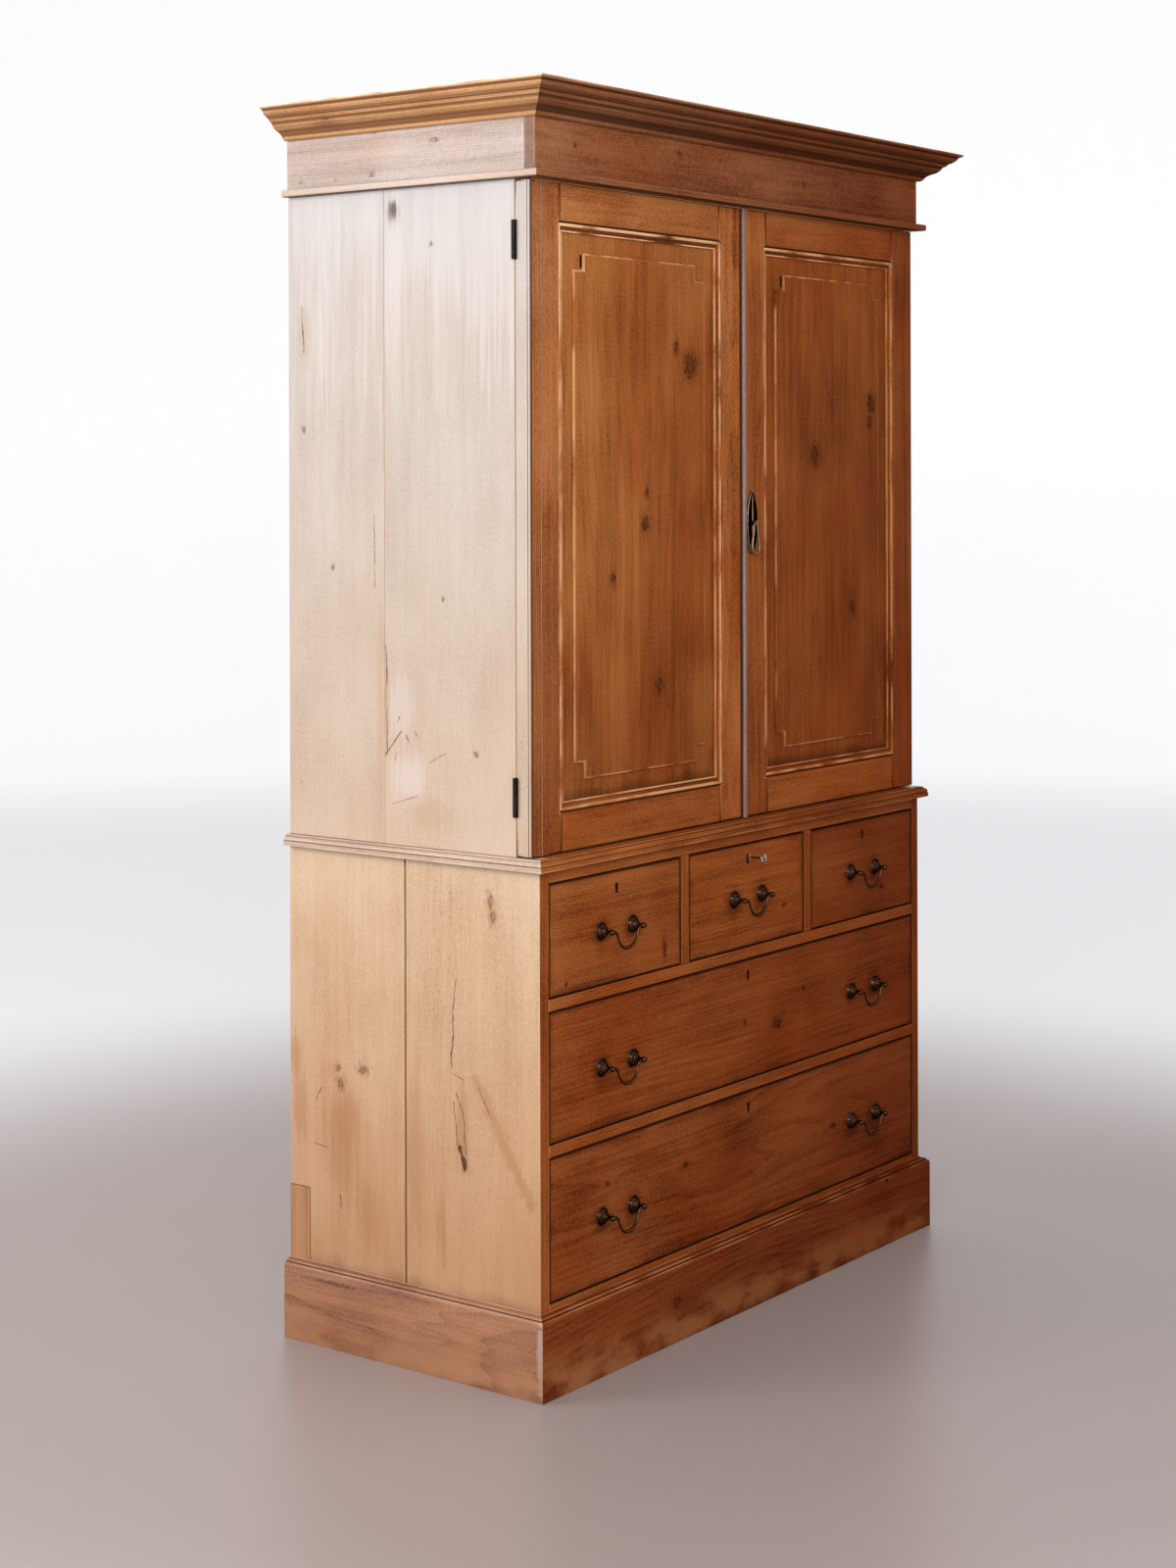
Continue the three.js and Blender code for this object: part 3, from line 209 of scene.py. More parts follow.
def pine(name, axes, tones, seed, knots=(), cracks=(), stains=(), figure=0.4, streaks=1.0,
         depth=1.0, blotch=0.5, rim_dirt_and_shade=None, wear_and_highlight=0.5, roughness=0.5, pith=(0.0, 0.08), worn=None,
         specular=0.012, heart=knot_heart, rims=0.8, painted_light_falloff=None, dirt_and_shade_colour=dirt_and_shade_tone):
    """Waxed pine. axes names the board's width, depth and length, so the grain runs along it.
    A knot is its place across and along, its half width, and how much longer than wide it is. A
    crack runs from one place to another with a half width, and is a soft streak where it has a
    colour of its own. A stain has two half widths. painted_light_falloff is painted light and
    shade: the colour is darkened or paled by the place from left to right and from the floor up,
    as the light falls off across the piece. rim_dirt_and_shade darkens the colour near the
    board's edges, as dirt and painted shade. Where the piece's relief is high the colour is paler,
    as wear and a painted highlight; where it is low, dirt and painted shade gather, and are dull."""
    material, tree, shader = blank(name, roughness, specular=specular)
    place = node(tree, "TexCoord", out=3)
    parts = node(tree, "SeparateXYZ", [place]).node.outputs
    flat = node(tree, "CombineXYZ", [parts["xyz".index(axis)] for axis in axes])
    moved = vector("ADD", flat, (seed * 0.371, seed * 0.173, seed * 0.719))

    def noise(stretch, detail=2.0):
        return cloud(moved, stretch, detail)

    wobble = calc("MULTIPLY_ADD", noise((210, 210, 110), 3.0), 2.2, -0.1)
    near = far_off = 9.0
    for across, along, size, stretch in knots:
        near = calc("MINIMUM", near, oval(flat, across, along, size, size * stretch))
    near = calc("MULTIPLY", near, wobble)
    flow = remap(near, 6.0, 0.6, 0.0, 0.011)

    slow = noise((2.6, 2.6, 0.8))
    sway = noise((17, 17, 1.9))
    centre = vector("MULTIPLY_ADD", flat, (1, 1, 0), (-pith[0], -pith[1], 0))
    radius = vector("LENGTH", centre)
    radius = calc("MULTIPLY_ADD", slow, 0.075, radius)
    radius = calc("MULTIPLY_ADD", sway, 0.012, radius)
    radius = calc("SUBTRACT", radius, flow)
    years_a_metre = 230.0
    year = calc("FRACT", calc("MULTIPLY", radius, years_a_metre))
    year = calc("POWER", year, 2.5)

    streak = noise((46, 46, 1.5), 4.0)
    strand = noise((150, 150, 4.5), 3.0)
    fibre = noise((480, 480, 13), 3.0)
    fleck = noise((260, 260, 200), 3.0)
    patch = noise((8, 8, 4.5), 4.0)
    tone = -0.11 * figure
    for value, share in ((year, 0.4 * figure), (streak, 0.36 * streaks), (strand, 0.27 * streaks),
                         (fibre, 0.28), (fleck, 0.58), (patch, 0.6)):
        tone = calc("MULTIPLY_ADD", value, share * depth, tone)
        middle = 0.0 if value is year else share * depth / 2
        tone = calc("SUBTRACT", tone, middle)
    ramp = tree.nodes.new("ShaderNodeValToRGB")
    for stop in range(2):
        ramp.color_ramp.elements.new(0.3 + 0.3 * stop)
    for element, (spot, colour) in zip(ramp.color_ramp.elements,
                                       zip((0.05, 0.42, 0.72, 1.0), tones)):
        element.position = spot
        element.color = (*colour, 1)
    feed(ramp.inputs[0], calc("ADD", tone, 0.5))
    colour = ramp.outputs[0]
    red = remap(noise((5.5, 5.5, 3.4), 5.0), 0.4, 0.66, 0.0, blotch)
    colour = tint(red, colour, tint(1.0, colour, (0.9, 0.7, 0.54), "MULTIPLY"))

    marks = 0.0
    for across, along, wide, long, share, *other in stains:
        spread = oval(flat, across, along, wide, long)
        spread = calc("MULTIPLY_ADD", calc("ADD", strand, patch), -1.5, spread)
        colour = tint(remap(spread, -0.3, -1.2, 0.0, share), colour,
                      other[0] if other else tones[3])
    bend = 0.01
    for u0, w0, u1, w1, half, *other in cracks:
        reach = Vector((u1 - u0, 0, w1 - w0))
        bent = vector("MULTIPLY", noise((45, 45, 24), 4.0), (bend, 0, 0))
        off = vector("MULTIPLY_ADD", flat, (1, 0, 1), (-u0 - bend / 2, 0, -w0))
        off = vector("ADD", off, bent)
        share = vector("DOT_PRODUCT", off, tuple(reach / reach.length_squared))
        share = node(tree, "Clamp", [share])
        spot = node(tree, "VectorMath", {0: tuple(-reach), "Scale": share}, operation="SCALE")
        gap = vector("LENGTH", vector("ADD", off, spot))
        broken = noise((130, 130, 70), 3.0)
        gap = calc("DIVIDE", gap, remap(broken, 0.36, 0.62, 0.45 * half, 1.4 * half))
        if other:
            colour = tint(remap(gap, 1.7, 0.5, 0.0, 0.6), colour, other[0])
            continue
        colour = tint(remap(gap, 5.0, 1.0, 0.0, 0.35), colour, tones[3])
        opened = remap(gap, 1.7, 0.6, 0.0, 0.95)
        colour = tint(opened, colour, dirt_and_shade_colour)
        marks = calc("MAXIMUM", marks, opened)
    if knots:
        colour = tint(remap(near, 3.0, 0.9, 0.0, 0.5), colour, tones[3])
        rings = calc("MULTIPLY_ADD", calc("SINE", calc("MULTIPLY", near, 19.0)), 0.1, 0.86)
        inside = calc("MULTIPLY", remap(near, 1.08, 0.92), rings)
        colour = tint(inside, colour, heart)
        rim = calc("ABSOLUTE", calc("SUBTRACT", near, 1.0))
        rim = calc("MULTIPLY", remap(rim, 0.36, 0.08, 0.0, rims),
                   remap(noise((140, 140, 90), 2.0), 0.38, 0.58))
        colour = tint(rim, colour, dirt_and_shade_colour)
        marks = calc("MAXIMUM", marks, rim)
    # Darker towards the given edges of the board, where it meets other parts: dirt and painted
    # shade.
    if rim_dirt_and_shade:
        low_u, high_u, low_w, high_w, reach, strength = rim_dirt_and_shade
        edge = far_off
        for axis, sign, limit in ((0, 1, low_u), (0, -1, high_u), (2, 1, low_w), (2, -1, high_w)):
            along = parts["xyz".index(axes[axis])]
            inward = calc("MULTIPLY_ADD", along, sign, -sign * limit)
            edge = calc("MINIMUM", edge, inward)
        ragged = noise((16, 16, 9), 4.0)
        edge = calc("MULTIPLY_ADD", ragged, -2 * reach, edge)
        held = remap(edge, -0.2 * reach, -1.3 * reach, 0.0, strength)
        colour = tint(held, colour, dirt_and_shade_colour)
    relief = node(tree, "Attribute", out=2, attribute_name="relief")
    # Paler where the relief is high: wear on the rubbed edges and a painted highlight.
    rubbed_and_highlight = calc("MULTIPLY", remap(relief, 0.25, 0.95, 0.0, wear_and_highlight),
                  remap(noise((24, 24, 12), 4.0), 0.34, 0.6))
    colour = tint(rubbed_and_highlight, colour, worn or tones[0])
    # Darker and duller where the relief is low, in hollows, joints and under mouldings: dirt and
    # painted shade.
    dirt_and_shade = remap(relief, -0.15, -0.8, 0.0, 0.9)
    colour = tint(dirt_and_shade, colour, dirt_and_shade_colour)
    # Painted light and shade: each colour channel is raised to a power set by the place, so the
    # colour darkens or pales as the light falls off.
    if painted_light_falloff:
        across, up, start, channel_falloff = painted_light_falloff
        share = calc("MULTIPLY_ADD", parts[2], up, start)
        share = calc("MULTIPLY_ADD", parts[0], across, share)
        left = node(tree, "CombineXYZ", [calc("POWER", channel, share) for channel in channel_falloff])
        colour = tint(1.0, colour, left, "MULTIPLY")
    feed(shader.inputs["Base Color"], colour)
    dull = calc("MULTIPLY_ADD", streak, 0.3, roughness - 0.15)
    feed(shader.inputs["Roughness"],
         calc("MULTIPLY_ADD", calc("MAXIMUM", dirt_and_shade, marks), 0.5, dull))
    height = calc("MULTIPLY_ADD", year, 0.35, calc("MULTIPLY", fibre, 0.6))
    bump = node(tree, "Bump", {"Strength": 0.35, "Distance": 0.0006, "Height": height})
    feed(shader.inputs["Normal"], bump)
    return material


def toned(tones, red, green=None, blue=None):
    """The same wood, darker or paler, or gone to another shade."""
    share = (red, green or red, blue or red)
    return [tuple(part * by for part, by in zip(colour, share)) for colour in tones]


def rounded(*points, steps=4):
    """More points on a smooth line through these."""
    places = [Vector(p) for p in points]
    ends = [2 * places[0] - places[1], *places, 2 * places[-1] - places[-2]]
    line = []
    for a, b, c, d in zip(ends, ends[1:], ends[2:], ends[3:]):
        for step in range(steps):
            t = step / steps
            line.append((2 * b + (c - a) * t + (2 * a - 5 * b + 4 * c - d) * t * t
                         + (3 * b - a - 3 * c + d) * t ** 3) / 2)
    return [tuple(p) for p in line] + [tuple(places[-1])]


def relief_of(section, reach=0.0018):
    """How much each point of a closed outline stands out (1) or lies in a hollow (-1)."""
    points = [Vector(p) for p in section]
    count = len(points)
    area = sum(a.cross(b) for a, b in zip(points, points[1:] + points[:1]))
    turns = []
    for i, point in enumerate(points):
        before, after = point - points[i - 1], points[(i + 1) % count] - point
        turns.append(math.copysign(1, area) * math.atan2(before.cross(after), before.dot(after)))
    return [max(-1, min(1, sum(turn for turn, other in zip(turns, points)
                               if (other - point).length < reach) / math.radians(70)))
            for point in points]


def made(name, bm, body, finishes, replaced=(), crease=15):
    """Puts a finished mesh in the scene on its body, with hard edges where it turns sharply."""
    bmesh.ops.recalc_face_normals(bm, faces=bm.faces)
    for face in bm.faces:
        face.smooth = True
    for edge in bm.edges:
        edge.smooth = edge.is_manifold and edge.calc_face_angle() < math.radians(crease)
    mesh = bpy.data.meshes.new(name)
    bm.to_mesh(mesh)
    bm.free()
    for finish in finishes:
        mesh.materials.append(finish)
    piece = bpy.data.objects.new(name, mesh)
    bpy.context.scene.collection.objects.link(piece)
    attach(piece, body)
    if replaced:
        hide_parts(*replaced)
    return piece


def relief_layer(bm):
    return bm.verts.layers.float.get("relief") or bm.verts.layers.float.new("relief")


def marked(bm, verts, value):
    """Marks corners as rubbed and lit by a painted highlight (1), plain (0), or dark with dirt and
    painted shade (-1).
    """
    layer = relief_layer(bm)
    for vert in verts:
        vert[layer] = value


def facing_down(section):
    """How much of a closed outline looks down at each point, from 0 to 1."""
    points = [Vector(p) for p in section]
    area = sum(a.cross(b) for a, b in zip(points, points[1:] + points[:1]))
    turns = [points[(i + 1) % len(points)] - points[i - 1] for i in range(len(points))]
    return [max(0, math.copysign(1, area) * turn.x / max(turn.length, 1e-6)) for turn in turns]


def run(bm, section, start, end, shade=0.0):
    """A moulding: its outline stood up at both ends, bridged and capped. Its hollows and the
    line where it meets what it is planted on are marked dark, as dirt and painted shade, and shade
    marks its downward faces darker, as a painted shadow under it.
    """
    layer = relief_layer(bm)
    rings = []
    for place in (start, end):
        ring = [bm.verts.new(place(out, up)) for out, up in section]
        hollows = zip(ring, relief_of(section), facing_down(section), section)
        for vert, value, down, (out, up) in hollows:
            vert[layer] = -1.0 if out < 0.0004 else value - shade * down
        rings.append(ring)
    edges = [bm.edges.new((ring[i - 1], ring[i])) for ring in rings for i in range(len(ring))]
    bmesh.ops.bridge_loops(bm, edges=edges)
    for ring in rings:
        bm.faces.new(ring)


def lengths(name, section, plan, replaced, seeds, front, sides, left=None, shade=0.0):
    """The front, left and right lengths of a moulding that goes round the press, each of its own
    pine. plan holds half the width of what it goes round, and where that begins and ends."""
    half, face, back = plan
    looks = {"front": front, "left": {**sides, **(left or {})}, "right": sides}
    finishes = {
        side: pine(f"{name.split('_')[-1]}_{side}_pine", "zyx" if side == "front" else "zxy",
                   seed=seed, **looks[side])
        for side, seed in zip(looks, seeds)
    }
    bm = bmesh.new()
    run(bm, section, lambda out, up: (-half - out + hairline, face - out, up),
        lambda out, up: (half + out - hairline, face - out, up), shade)
    made(name + "_front", bm, "case", [finishes["front"]], [replaced], crease=35)
    for side, sign in both_sides:
        bm = bmesh.new()
        run(bm, section, lambda out, up: (sign * (half + out), face - out + hairline, up),
            lambda out, up: (sign * (half + out), back, up), shade)
        made(f"{name}_{side}", bm, "case", [finishes[side]], [replaced], crease=35)


def softened(bm, verts, soften, margin, edge):
    """Rounds a board's edges, and marks them as rubbed, pale with wear and a painted highlight, or
    as a joint darkened with dirt and painted shade.
    """
    edges = list({edge for vert in verts for edge in vert.link_edges})
    cut = bmesh.ops.bevel(bm, geom=edges, offset=soften, segments=2, profile=0.5,
                          affect="EDGES", material=-1)
    faces = list({face for vert in cut["verts"] for face in vert.link_faces})
    flat = []
    for face in faces:
        face.normal_update()
        if max(map(abs, face.normal)) > 0.999:
            flat.append(face)
        marked(bm, face.verts, edge)
    bmesh.ops.inset_individual(bm, faces=flat, thickness=margin, use_even_offset=True)
    for face in flat:
        marked(bm, face.verts, 0.0)


def cube(bm, corner, opposite):
    """Adds a box between two corners, and gives its own corners and its least thickness."""
    low, high = (Vector([*map(least, corner, opposite)]) for least in (min, max))
    verts = bmesh.ops.create_cube(bm, size=1)["verts"]
    bmesh.ops.scale(bm, vec=high - low, verts=verts)
    bmesh.ops.translate(bm, vec=(low + high) / 2, verts=verts)
    return verts, min(high - low)


def board(bm, corner, opposite, soften=0.0012, margin=0.006, edge=1.0):
    """One sawn and planed board with softened edges, joined to what bm holds."""
    relief_layer(bm)
    verts, thickness = cube(bm, corner, opposite)
    softened(bm, verts, soften, min(margin, thickness * 0.3), edge)


def lone_board(name, corner, opposite, finishes, slot, replaced=(), **edges):
    """One board of the case that is a piece of its own."""
    bm = bmesh.new()
    board(bm, corner, opposite, **edges)
    return made(name, bm, "case", finishes, replaced)


def dirt_and_shade_marked(bm, test):
    """Dirt and painted shade in the joint or gap, wherever a corner of the mesh passes the test."""
    marked(bm, [vert for vert in bm.verts if test(vert.co)], -1.0)


def painted(piece, way, index):
    """Faces that look this way take another of the piece's finishes."""
    for face in piece.data.polygons:
        if face.normal.dot(Vector(way)) > 0.5:
            face.material_index = index


plinth_section = [
    (-0.0077, 0.0), *rounded((0.0158, 0.0), (0.0163, 0.001), steps=2), (0.0163, 0.1215),
    *rounded((0.0161, 0.1255), (0.0152, 0.1283), (0.0135, 0.1297), (0.0118, 0.13)),
    (0.011, 0.1295), *rounded((0.0109, 0.1312), (0.0103, 0.133), (0.0086, 0.134),
                               (0.0068, 0.1341)),
    (0.0062, 0.1336), *rounded((0.0056, 0.1343), (0.0032, 0.1351), (0.0016, 0.1362),
                               (0.0009, 0.1373)),
    (0.0003, 0.1373), (0.0003, 0.11), (-0.0077, 0.11),
]
plinth_side_tones = ((0.42, 0.2, 0.098), (0.33, 0.142, 0.067), (0.23, 0.088, 0.04),
                     (0.11, 0.038, 0.018))
front_tones = ((0.5, 0.203, 0.07), (0.4, 0.147, 0.044), (0.29, 0.094, 0.026),
               (0.145, 0.041, 0.012))
# Painted light: the front darkens and browns to the right and towards the floor, as the window's
# light falls off.
front_painted_light = (0.82, -0.45, 1.37, (0.61, 0.44, 0.31))
inside_tones = ((0.7, 0.48, 0.29), (0.62, 0.39, 0.21), (0.51, 0.29, 0.14), (0.34, 0.17, 0.08))
lengths("plinth", plinth_section, case_plan, "plinth", (3, 5, 6),
        dict(tones=toned(front_tones, 0.83, 0.77, 0.92), wear_and_highlight=0.7, depth=1.8, painted_light_falloff=front_painted_light,
             knots=[(0.124, 0.459, 0.0035, 1.0), (0.07, -0.25, 0.006, 1.6)],
             worn=(0.66, 0.36, 0.2), rim_dirt_and_shade=(0.0, 0.3, -0.8, 0.8, 0.03, 0.5)),
        dict(tones=plinth_side_tones, specular=0.5, roughness=0.4, depth=1.6, streaks=1.3,
             wear_and_highlight=0.7),
        dict(knots=[(0.112, 0.19, 0.0022, 14)], rim_dirt_and_shade=(0.0, 0.3, -0.5, 0.5, 0.022, 0.4),
             stains=[(0.07, -0.253, 0.09, 0.008, 0.6, (0.47, 0.37, 0.32))]))
rail_half, rail_thickness, rail_top = 0.6018, 0.024, 0.11
lone_board("plinth_back_rail", (-rail_half, case_back - rail_thickness, 0),
           (rail_half, case_back, rail_top),
           [pine("plinth_rail_pine", "zyx", inside_tones, 7, roughness=0.7, wear_and_highlight=0.1)],
           "side_pine", ["plinth"])


# The chest's sides: each is two upright planks whose joint has shrunk open, with a tongue behind
# the gap that is painted near black as the shade in it. A darker patch is let into the left one's
# rear corner. Their front edges carry the darker wax of the front, and the strips of their inner
# faces along the drawers' gaps are painted near black as shade. A plank's table holds its seed,
# its pith and its marks.
plank_gap = (0.0428, 0.0473)
side_tones = ((0.635, 0.487, 0.33), (0.57, 0.41, 0.272), (0.485, 0.325, 0.198),
              (0.28, 0.148, 0.072))
side_heart = (0.28, 0.138, 0.066)
tan = (0.43, 0.24, 0.115)
# The dark of the sides' cracks and knots, and of their hollows and joints, where it is painted
# shade too.
crevice = (0.075, 0.03, 0.014)
# Painted light: the chest's sides darken and brown towards the floor, away from the window's glare.
side_painted_light = (0.0, -2.0, 1.7, (0.85, 0.69, 0.57))
side_look = dict(specular=0.45, roughness=0.42, figure=0.15, streaks=0.7, blotch=0.3, depth=1.35,
                 heart=side_heart, rims=0.62, painted_light_falloff=side_painted_light, dirt_and_shade_colour=crevice)
# Darker along the sides' foot, above the plinth: dirt and painted shade.
foot_dirt_and_shade = (-0.5, 0.5, 0.137, 2.0, 0.03, 0.35)
chest_planks = {
    "left_front": (11, (-0.05, -0.54), dict(
        knots=[(-0.138, 0.794, 0.0042, 2.2), (-0.144, 0.768, 0.005, 1.4),
               (-0.083, 0.404, 0.0012, 1.0)],
        cracks=[(-0.0649, 0.658, -0.0584, 0.593, 0.0005), (-0.0584, 0.593, -0.056, 0.512, 0.0007),
                (-0.066, 0.47, -0.083, 0.425, 0.0005), (-0.083, 0.425, -0.085, 0.368, 0.0006),
                (-0.06, 0.455, -0.068, 0.385, 0.0005), (-0.074, 0.38, -0.0847, 0.346, 0.003),
                (-0.112, 0.484, -0.14, 0.437, 0.0006), (-0.062, 0.5, -0.082, 0.492, 0.0003),
                (-0.108, 0.495, -0.222, 0.308, 0.009, tan)],
        stains=[(-0.078, 0.42, 0.014, 0.075, 0.6, tan), (0.02, 0.4, 0.02, 0.2, 0.45, tan),
                (-0.035, 0.24, 0.012, 0.09, 0.45, tan), (-0.141, 0.775, 0.012, 0.03, 0.5, tan)],
        rim_dirt_and_shade=foot_dirt_and_shade)),
    "left_back": (13, (0.18, -0.52), dict(
        knots=[(0.14, 0.4807, 0.007, 0.8), (0.196, 0.476, 0.0035, 1.3),
               (0.19, 0.451, 0.006, 1.2)],
        cracks=[(0.2324, 0.4409, 0.2461, 0.4154, 0.0004), (0.2487, 0.3409, 0.2215, 0.3366, 0.0004),
                (0.1909, 0.2593, 0.1903, 0.2393, 0.0005)],
        stains=[(0.1808, 0.3945, 0.05, 0.055, 0.75, tan), (0.1855, 0.3186, 0.035, 0.1, 0.5, tan),
                (0.294, 0.4833, 0.02, 0.05, 0.7, tan), (0.2828, 0.4052, 0.02, 0.07, 0.6, tan),
                (0.2074, 0.4711, 0.02, 0.02, 0.4, tan), (0.12, 0.24, 0.05, 0.06, 0.35, tan)],
        rim_dirt_and_shade=foot_dirt_and_shade)),
    "right_front": (14, (-0.12, 0.54), dict(
        knots=[(-0.11, 0.62, 0.009, 1.4)], stains=[(-0.13, 0.45, 0.06, 0.14, 0.4)])),
    "right_back": (15, (0.2, 0.53), dict(
        knots=[(0.17, 0.33, 0.011, 1.3)], stains=[(0.15, 0.25, 0.07, 0.12, 0.4)])),
}
front_look = dict(depth=1.8, figure=0.3, blotch=0.8, painted_light_falloff=front_painted_light)
front_edge_pine = pine("front_edge_pine", "xyz", toned(front_tones, 1.05), 16, wear_and_highlight=0.4,
                       **front_look)
# Near-black pine for faces in the narrow gaps round the drawers, in the keyholes and the panel
# pocket, and on the tongue: painted shade.
gap_shade_pine = pine("gap_shade_pine", "xyz", toned(front_tones, 0.1), 17, roughness=0.8)
gap_strip = 0.0075
past, just_past = 0.01, 0.002


def gapped(piece, index, test):
    """The strip just inside the front edge of a board, along a gap, takes another of the piece's
    finishes: near black, as painted shade in the gap."""
    for face in piece.data.polygons:
        if face.center.y < case_face + gap_strip and test(face.normal):
            face.material_index = index


def carved(bm, cutters):
    """Cuts grooves, keyholes and mortises out of a board."""
    blocks = []
    for part in (bm, cutters):
        bmesh.ops.recalc_face_normals(part, faces=part.faces)
        mesh = bpy.data.meshes.new("block")
        part.to_mesh(mesh)
        part.free()
        blocks.append(bpy.data.objects.new("block", mesh))
        bpy.context.scene.collection.objects.link(blocks[-1])
    cut = blocks[0].modifiers.new("cut", "BOOLEAN")
    cut.object = blocks[1]
    cut.operation = "DIFFERENCE"
    cut.solver = "EXACT"
    done = bpy.data.meshes.new_from_object(
        blocks[0].evaluated_get(bpy.context.evaluated_depsgraph_get()))
    whole = bmesh.new()
    whole.from_mesh(done)
    for mesh in (done, *(block.data for block in blocks)):
        bpy.data.meshes.remove(mesh)
    return whole


def block(bm, corner, opposite):
    """Adds a cutter between two corners, whose cut is marked as dark as a joint, with dirt and
    painted shade. It reaches past the wood where its cut is open."""
    relief_layer(bm)
    marked(bm, cube(bm, corner, opposite)[0], -1.0)


def prism(bm, outline, front, back):
    """Adds a solid with this outline, seen from the front, and gives its corners."""
    relief_layer(bm)
    near = [bm.verts.new((x, front, z)) for x, z in outline]
    grown = bmesh.ops.extrude_face_region(bm, geom=[bm.faces.new(near)])["geom"]
    deep = [part for part in grown if isinstance(part, bmesh.types.BMVert)]
    bmesh.ops.translate(bm, vec=(0, back - front, 0), verts=deep)
    return near + deep


patch_edge, patch_top, patch_depth, patch_gap = 0.2605, 0.263, 0.006, 0.0004
tongue_in, tongue_out, tongue_overlap, tongue_short = 0.587, 0.604, 0.0005, 0.001
patch_pine = pine("lower_left_patch_pine", "yxz", toned(side_tones, 0.86, 0.76, 0.66), 18,
                  pith=(0.3, -0.52), **{**side_look, "streaks": 1.6, "figure": 0.6})
for side, sign in both_sides:
    low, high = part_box(f"lower_side_{side}")
    for plank, start, end in (("front", low.y, plank_gap[0]), ("back", plank_gap[1], high.y)):
        seed, pith, marks = chest_planks[f"{side}_{plank}"]
        finish = pine(f"lower_{side}_{plank}_pine", "yxz", side_tones, seed, pith=pith,
                      **side_look, **marks)
        bm = bmesh.new()
        board(bm, (low.x, start, low.z), (high.x, end, high.z))
        if (side, plank) == ("left", "back"):
            cutters = bmesh.new()
            block(cutters, (low.x - just_past, patch_edge, low.z - past),
                  (low.x + patch_depth, high.y + past, patch_top))
            bm = carved(bm, cutters)
        piece = made(f"lower_{side}_{plank}_plank", bm, "case",
                     [finish, front_edge_pine, gap_shade_pine], [f"lower_side_{side}"])
        if plank == "front":
            gapped(piece, 2, lambda normal: normal.x * sign < -0.6)
            painted(piece, (0, -1, 0), 1)
    lone_board(f"lower_{side}_tongue",
               (sign * tongue_out, plank_gap[0] - tongue_overlap, low.z + tongue_short),
               (sign * tongue_in, plank_gap[1] + tongue_overlap, high.z - tongue_short),
               [gap_shade_pine], "side_pine", soften=0.0002)
low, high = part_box("lower_side_left")
lone_board("lower_left_patch", (low.x, patch_edge + patch_gap, low.z),
           (low.x + patch_depth - hairline, high.y, patch_top - patch_gap),
           [patch_pine], "side_pine", soften=0.0008, margin=0.003, edge=-0.6)


# Boards across the chest: the bottom, two drawer dividers, and the top with its rail, which is
# mortised for the lock's bolt. Front edges are waxed like the drawers, the strips along the
# drawers' gaps are painted near black as shade, and the rest is plain.
rail_bottom, rail_back, top_bottom = 0.828, case_face + 0.022, 0.8465
chest_rail_pine = pine("chest_rail_pine", "zyx", toned(front_tones, 1.15, 1.2, 1.3), 21, wear_and_highlight=0.2,
                       **front_look)
inside_pine = pine("inside_board_pine", "yzx", inside_tones, 22, roughness=0.6, wear_and_highlight=0.2)
for name in ("lower_bottom", "drawer_divider_lower", "drawer_divider_upper"):
    piece = lone_board(name + "_board", *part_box(name), [inside_pine, chest_rail_pine, gap_shade_pine],
                       "front_pine", [name], edge=0.4)
    gapped(piece, 2, lambda normal: abs(normal.z) > 0.6)
    painted(piece, (0, -1, 0), 1)

low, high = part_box("lower_top")
bolt_low, bolt_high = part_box("lock_bolt")
bolt_room, bolt_play, bolt_rise = 0.001, 0.0005, 0.01
bm, cutters = bmesh.new(), bmesh.new()
board(bm, (low.x, case_face, rail_bottom), (high.x, rail_back, high.z))
block(cutters, (bolt_low.x - bolt_room, bolt_low.y - bolt_play, rail_bottom - just_past),
      (bolt_high.x + bolt_room, bolt_high.y + bolt_play, bolt_high.z + bolt_rise))
piece = made("chest_top_rail", carved(bm, cutters), "case", [chest_rail_pine, gap_shade_pine],
             ["lower_top"])
gapped(piece, 1, lambda normal: normal.z < -0.6)
lone_board("chest_top_board", (low.x, rail_back + hairline, top_bottom), high, [inside_pine],
           "front_pine", ["lower_top"])


# Two upright partitions between the small drawers, and the chest's back of nailed upright boards.
partition_pine = pine("partition_pine", "xyz", toned(front_tones, 1.15, 1.2, 1.3), 24, wear_and_highlight=0.3,
                      **front_look)
back_pine = pine("back_board_pine", "xyz", inside_tones, 25, roughness=0.75, wear_and_highlight=0.1,
                 knots=[(-0.42, 0.55, 0.01, 1.3), (0.17, 0.35, 0.012, 1.2),
                        (0.33, 0.72, 0.008, 1.5), (-0.31, 1.35, 0.011, 1.4),
                        (0.1, 1.62, 0.009, 1.2), (0.45, 1.15, 0.012, 1.3)])
for side in ("left", "right"):
    low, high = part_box(f"drawer_partition_{side}")
    bm = bmesh.new()
    board(bm, low, (high.x, rail_back - hairline, rail_bottom - 0.0003))
    board(bm, (low.x, rail_back, low.z), high)
    piece = made(f"drawer_partition_{side}_board", bm, "case", [partition_pine, gap_shade_pine],
                 [f"drawer_partition_{side}"])
    # The partitions' edge strips along the drawers' gaps are painted near black as shade.
    gapped(piece, 1, lambda normal: abs(normal.x) > 0.6)


def planked(name, node_name, count):
    """A back of equal upright boards with thin gaps."""
    low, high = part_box(node_name)
    wide = (high.x - low.x) / count
    bm = bmesh.new()
    for i in range(count):
        board(bm, (low.x + i * wide + 0.0004, low.y, low.z),
              (low.x + (i + 1) * wide - 0.0004, high.y, high.z), soften=0.0016)
    made(name, bm, "case", [back_pine], [node_name])


planked("lower_back_boards", "lower_back", 9)


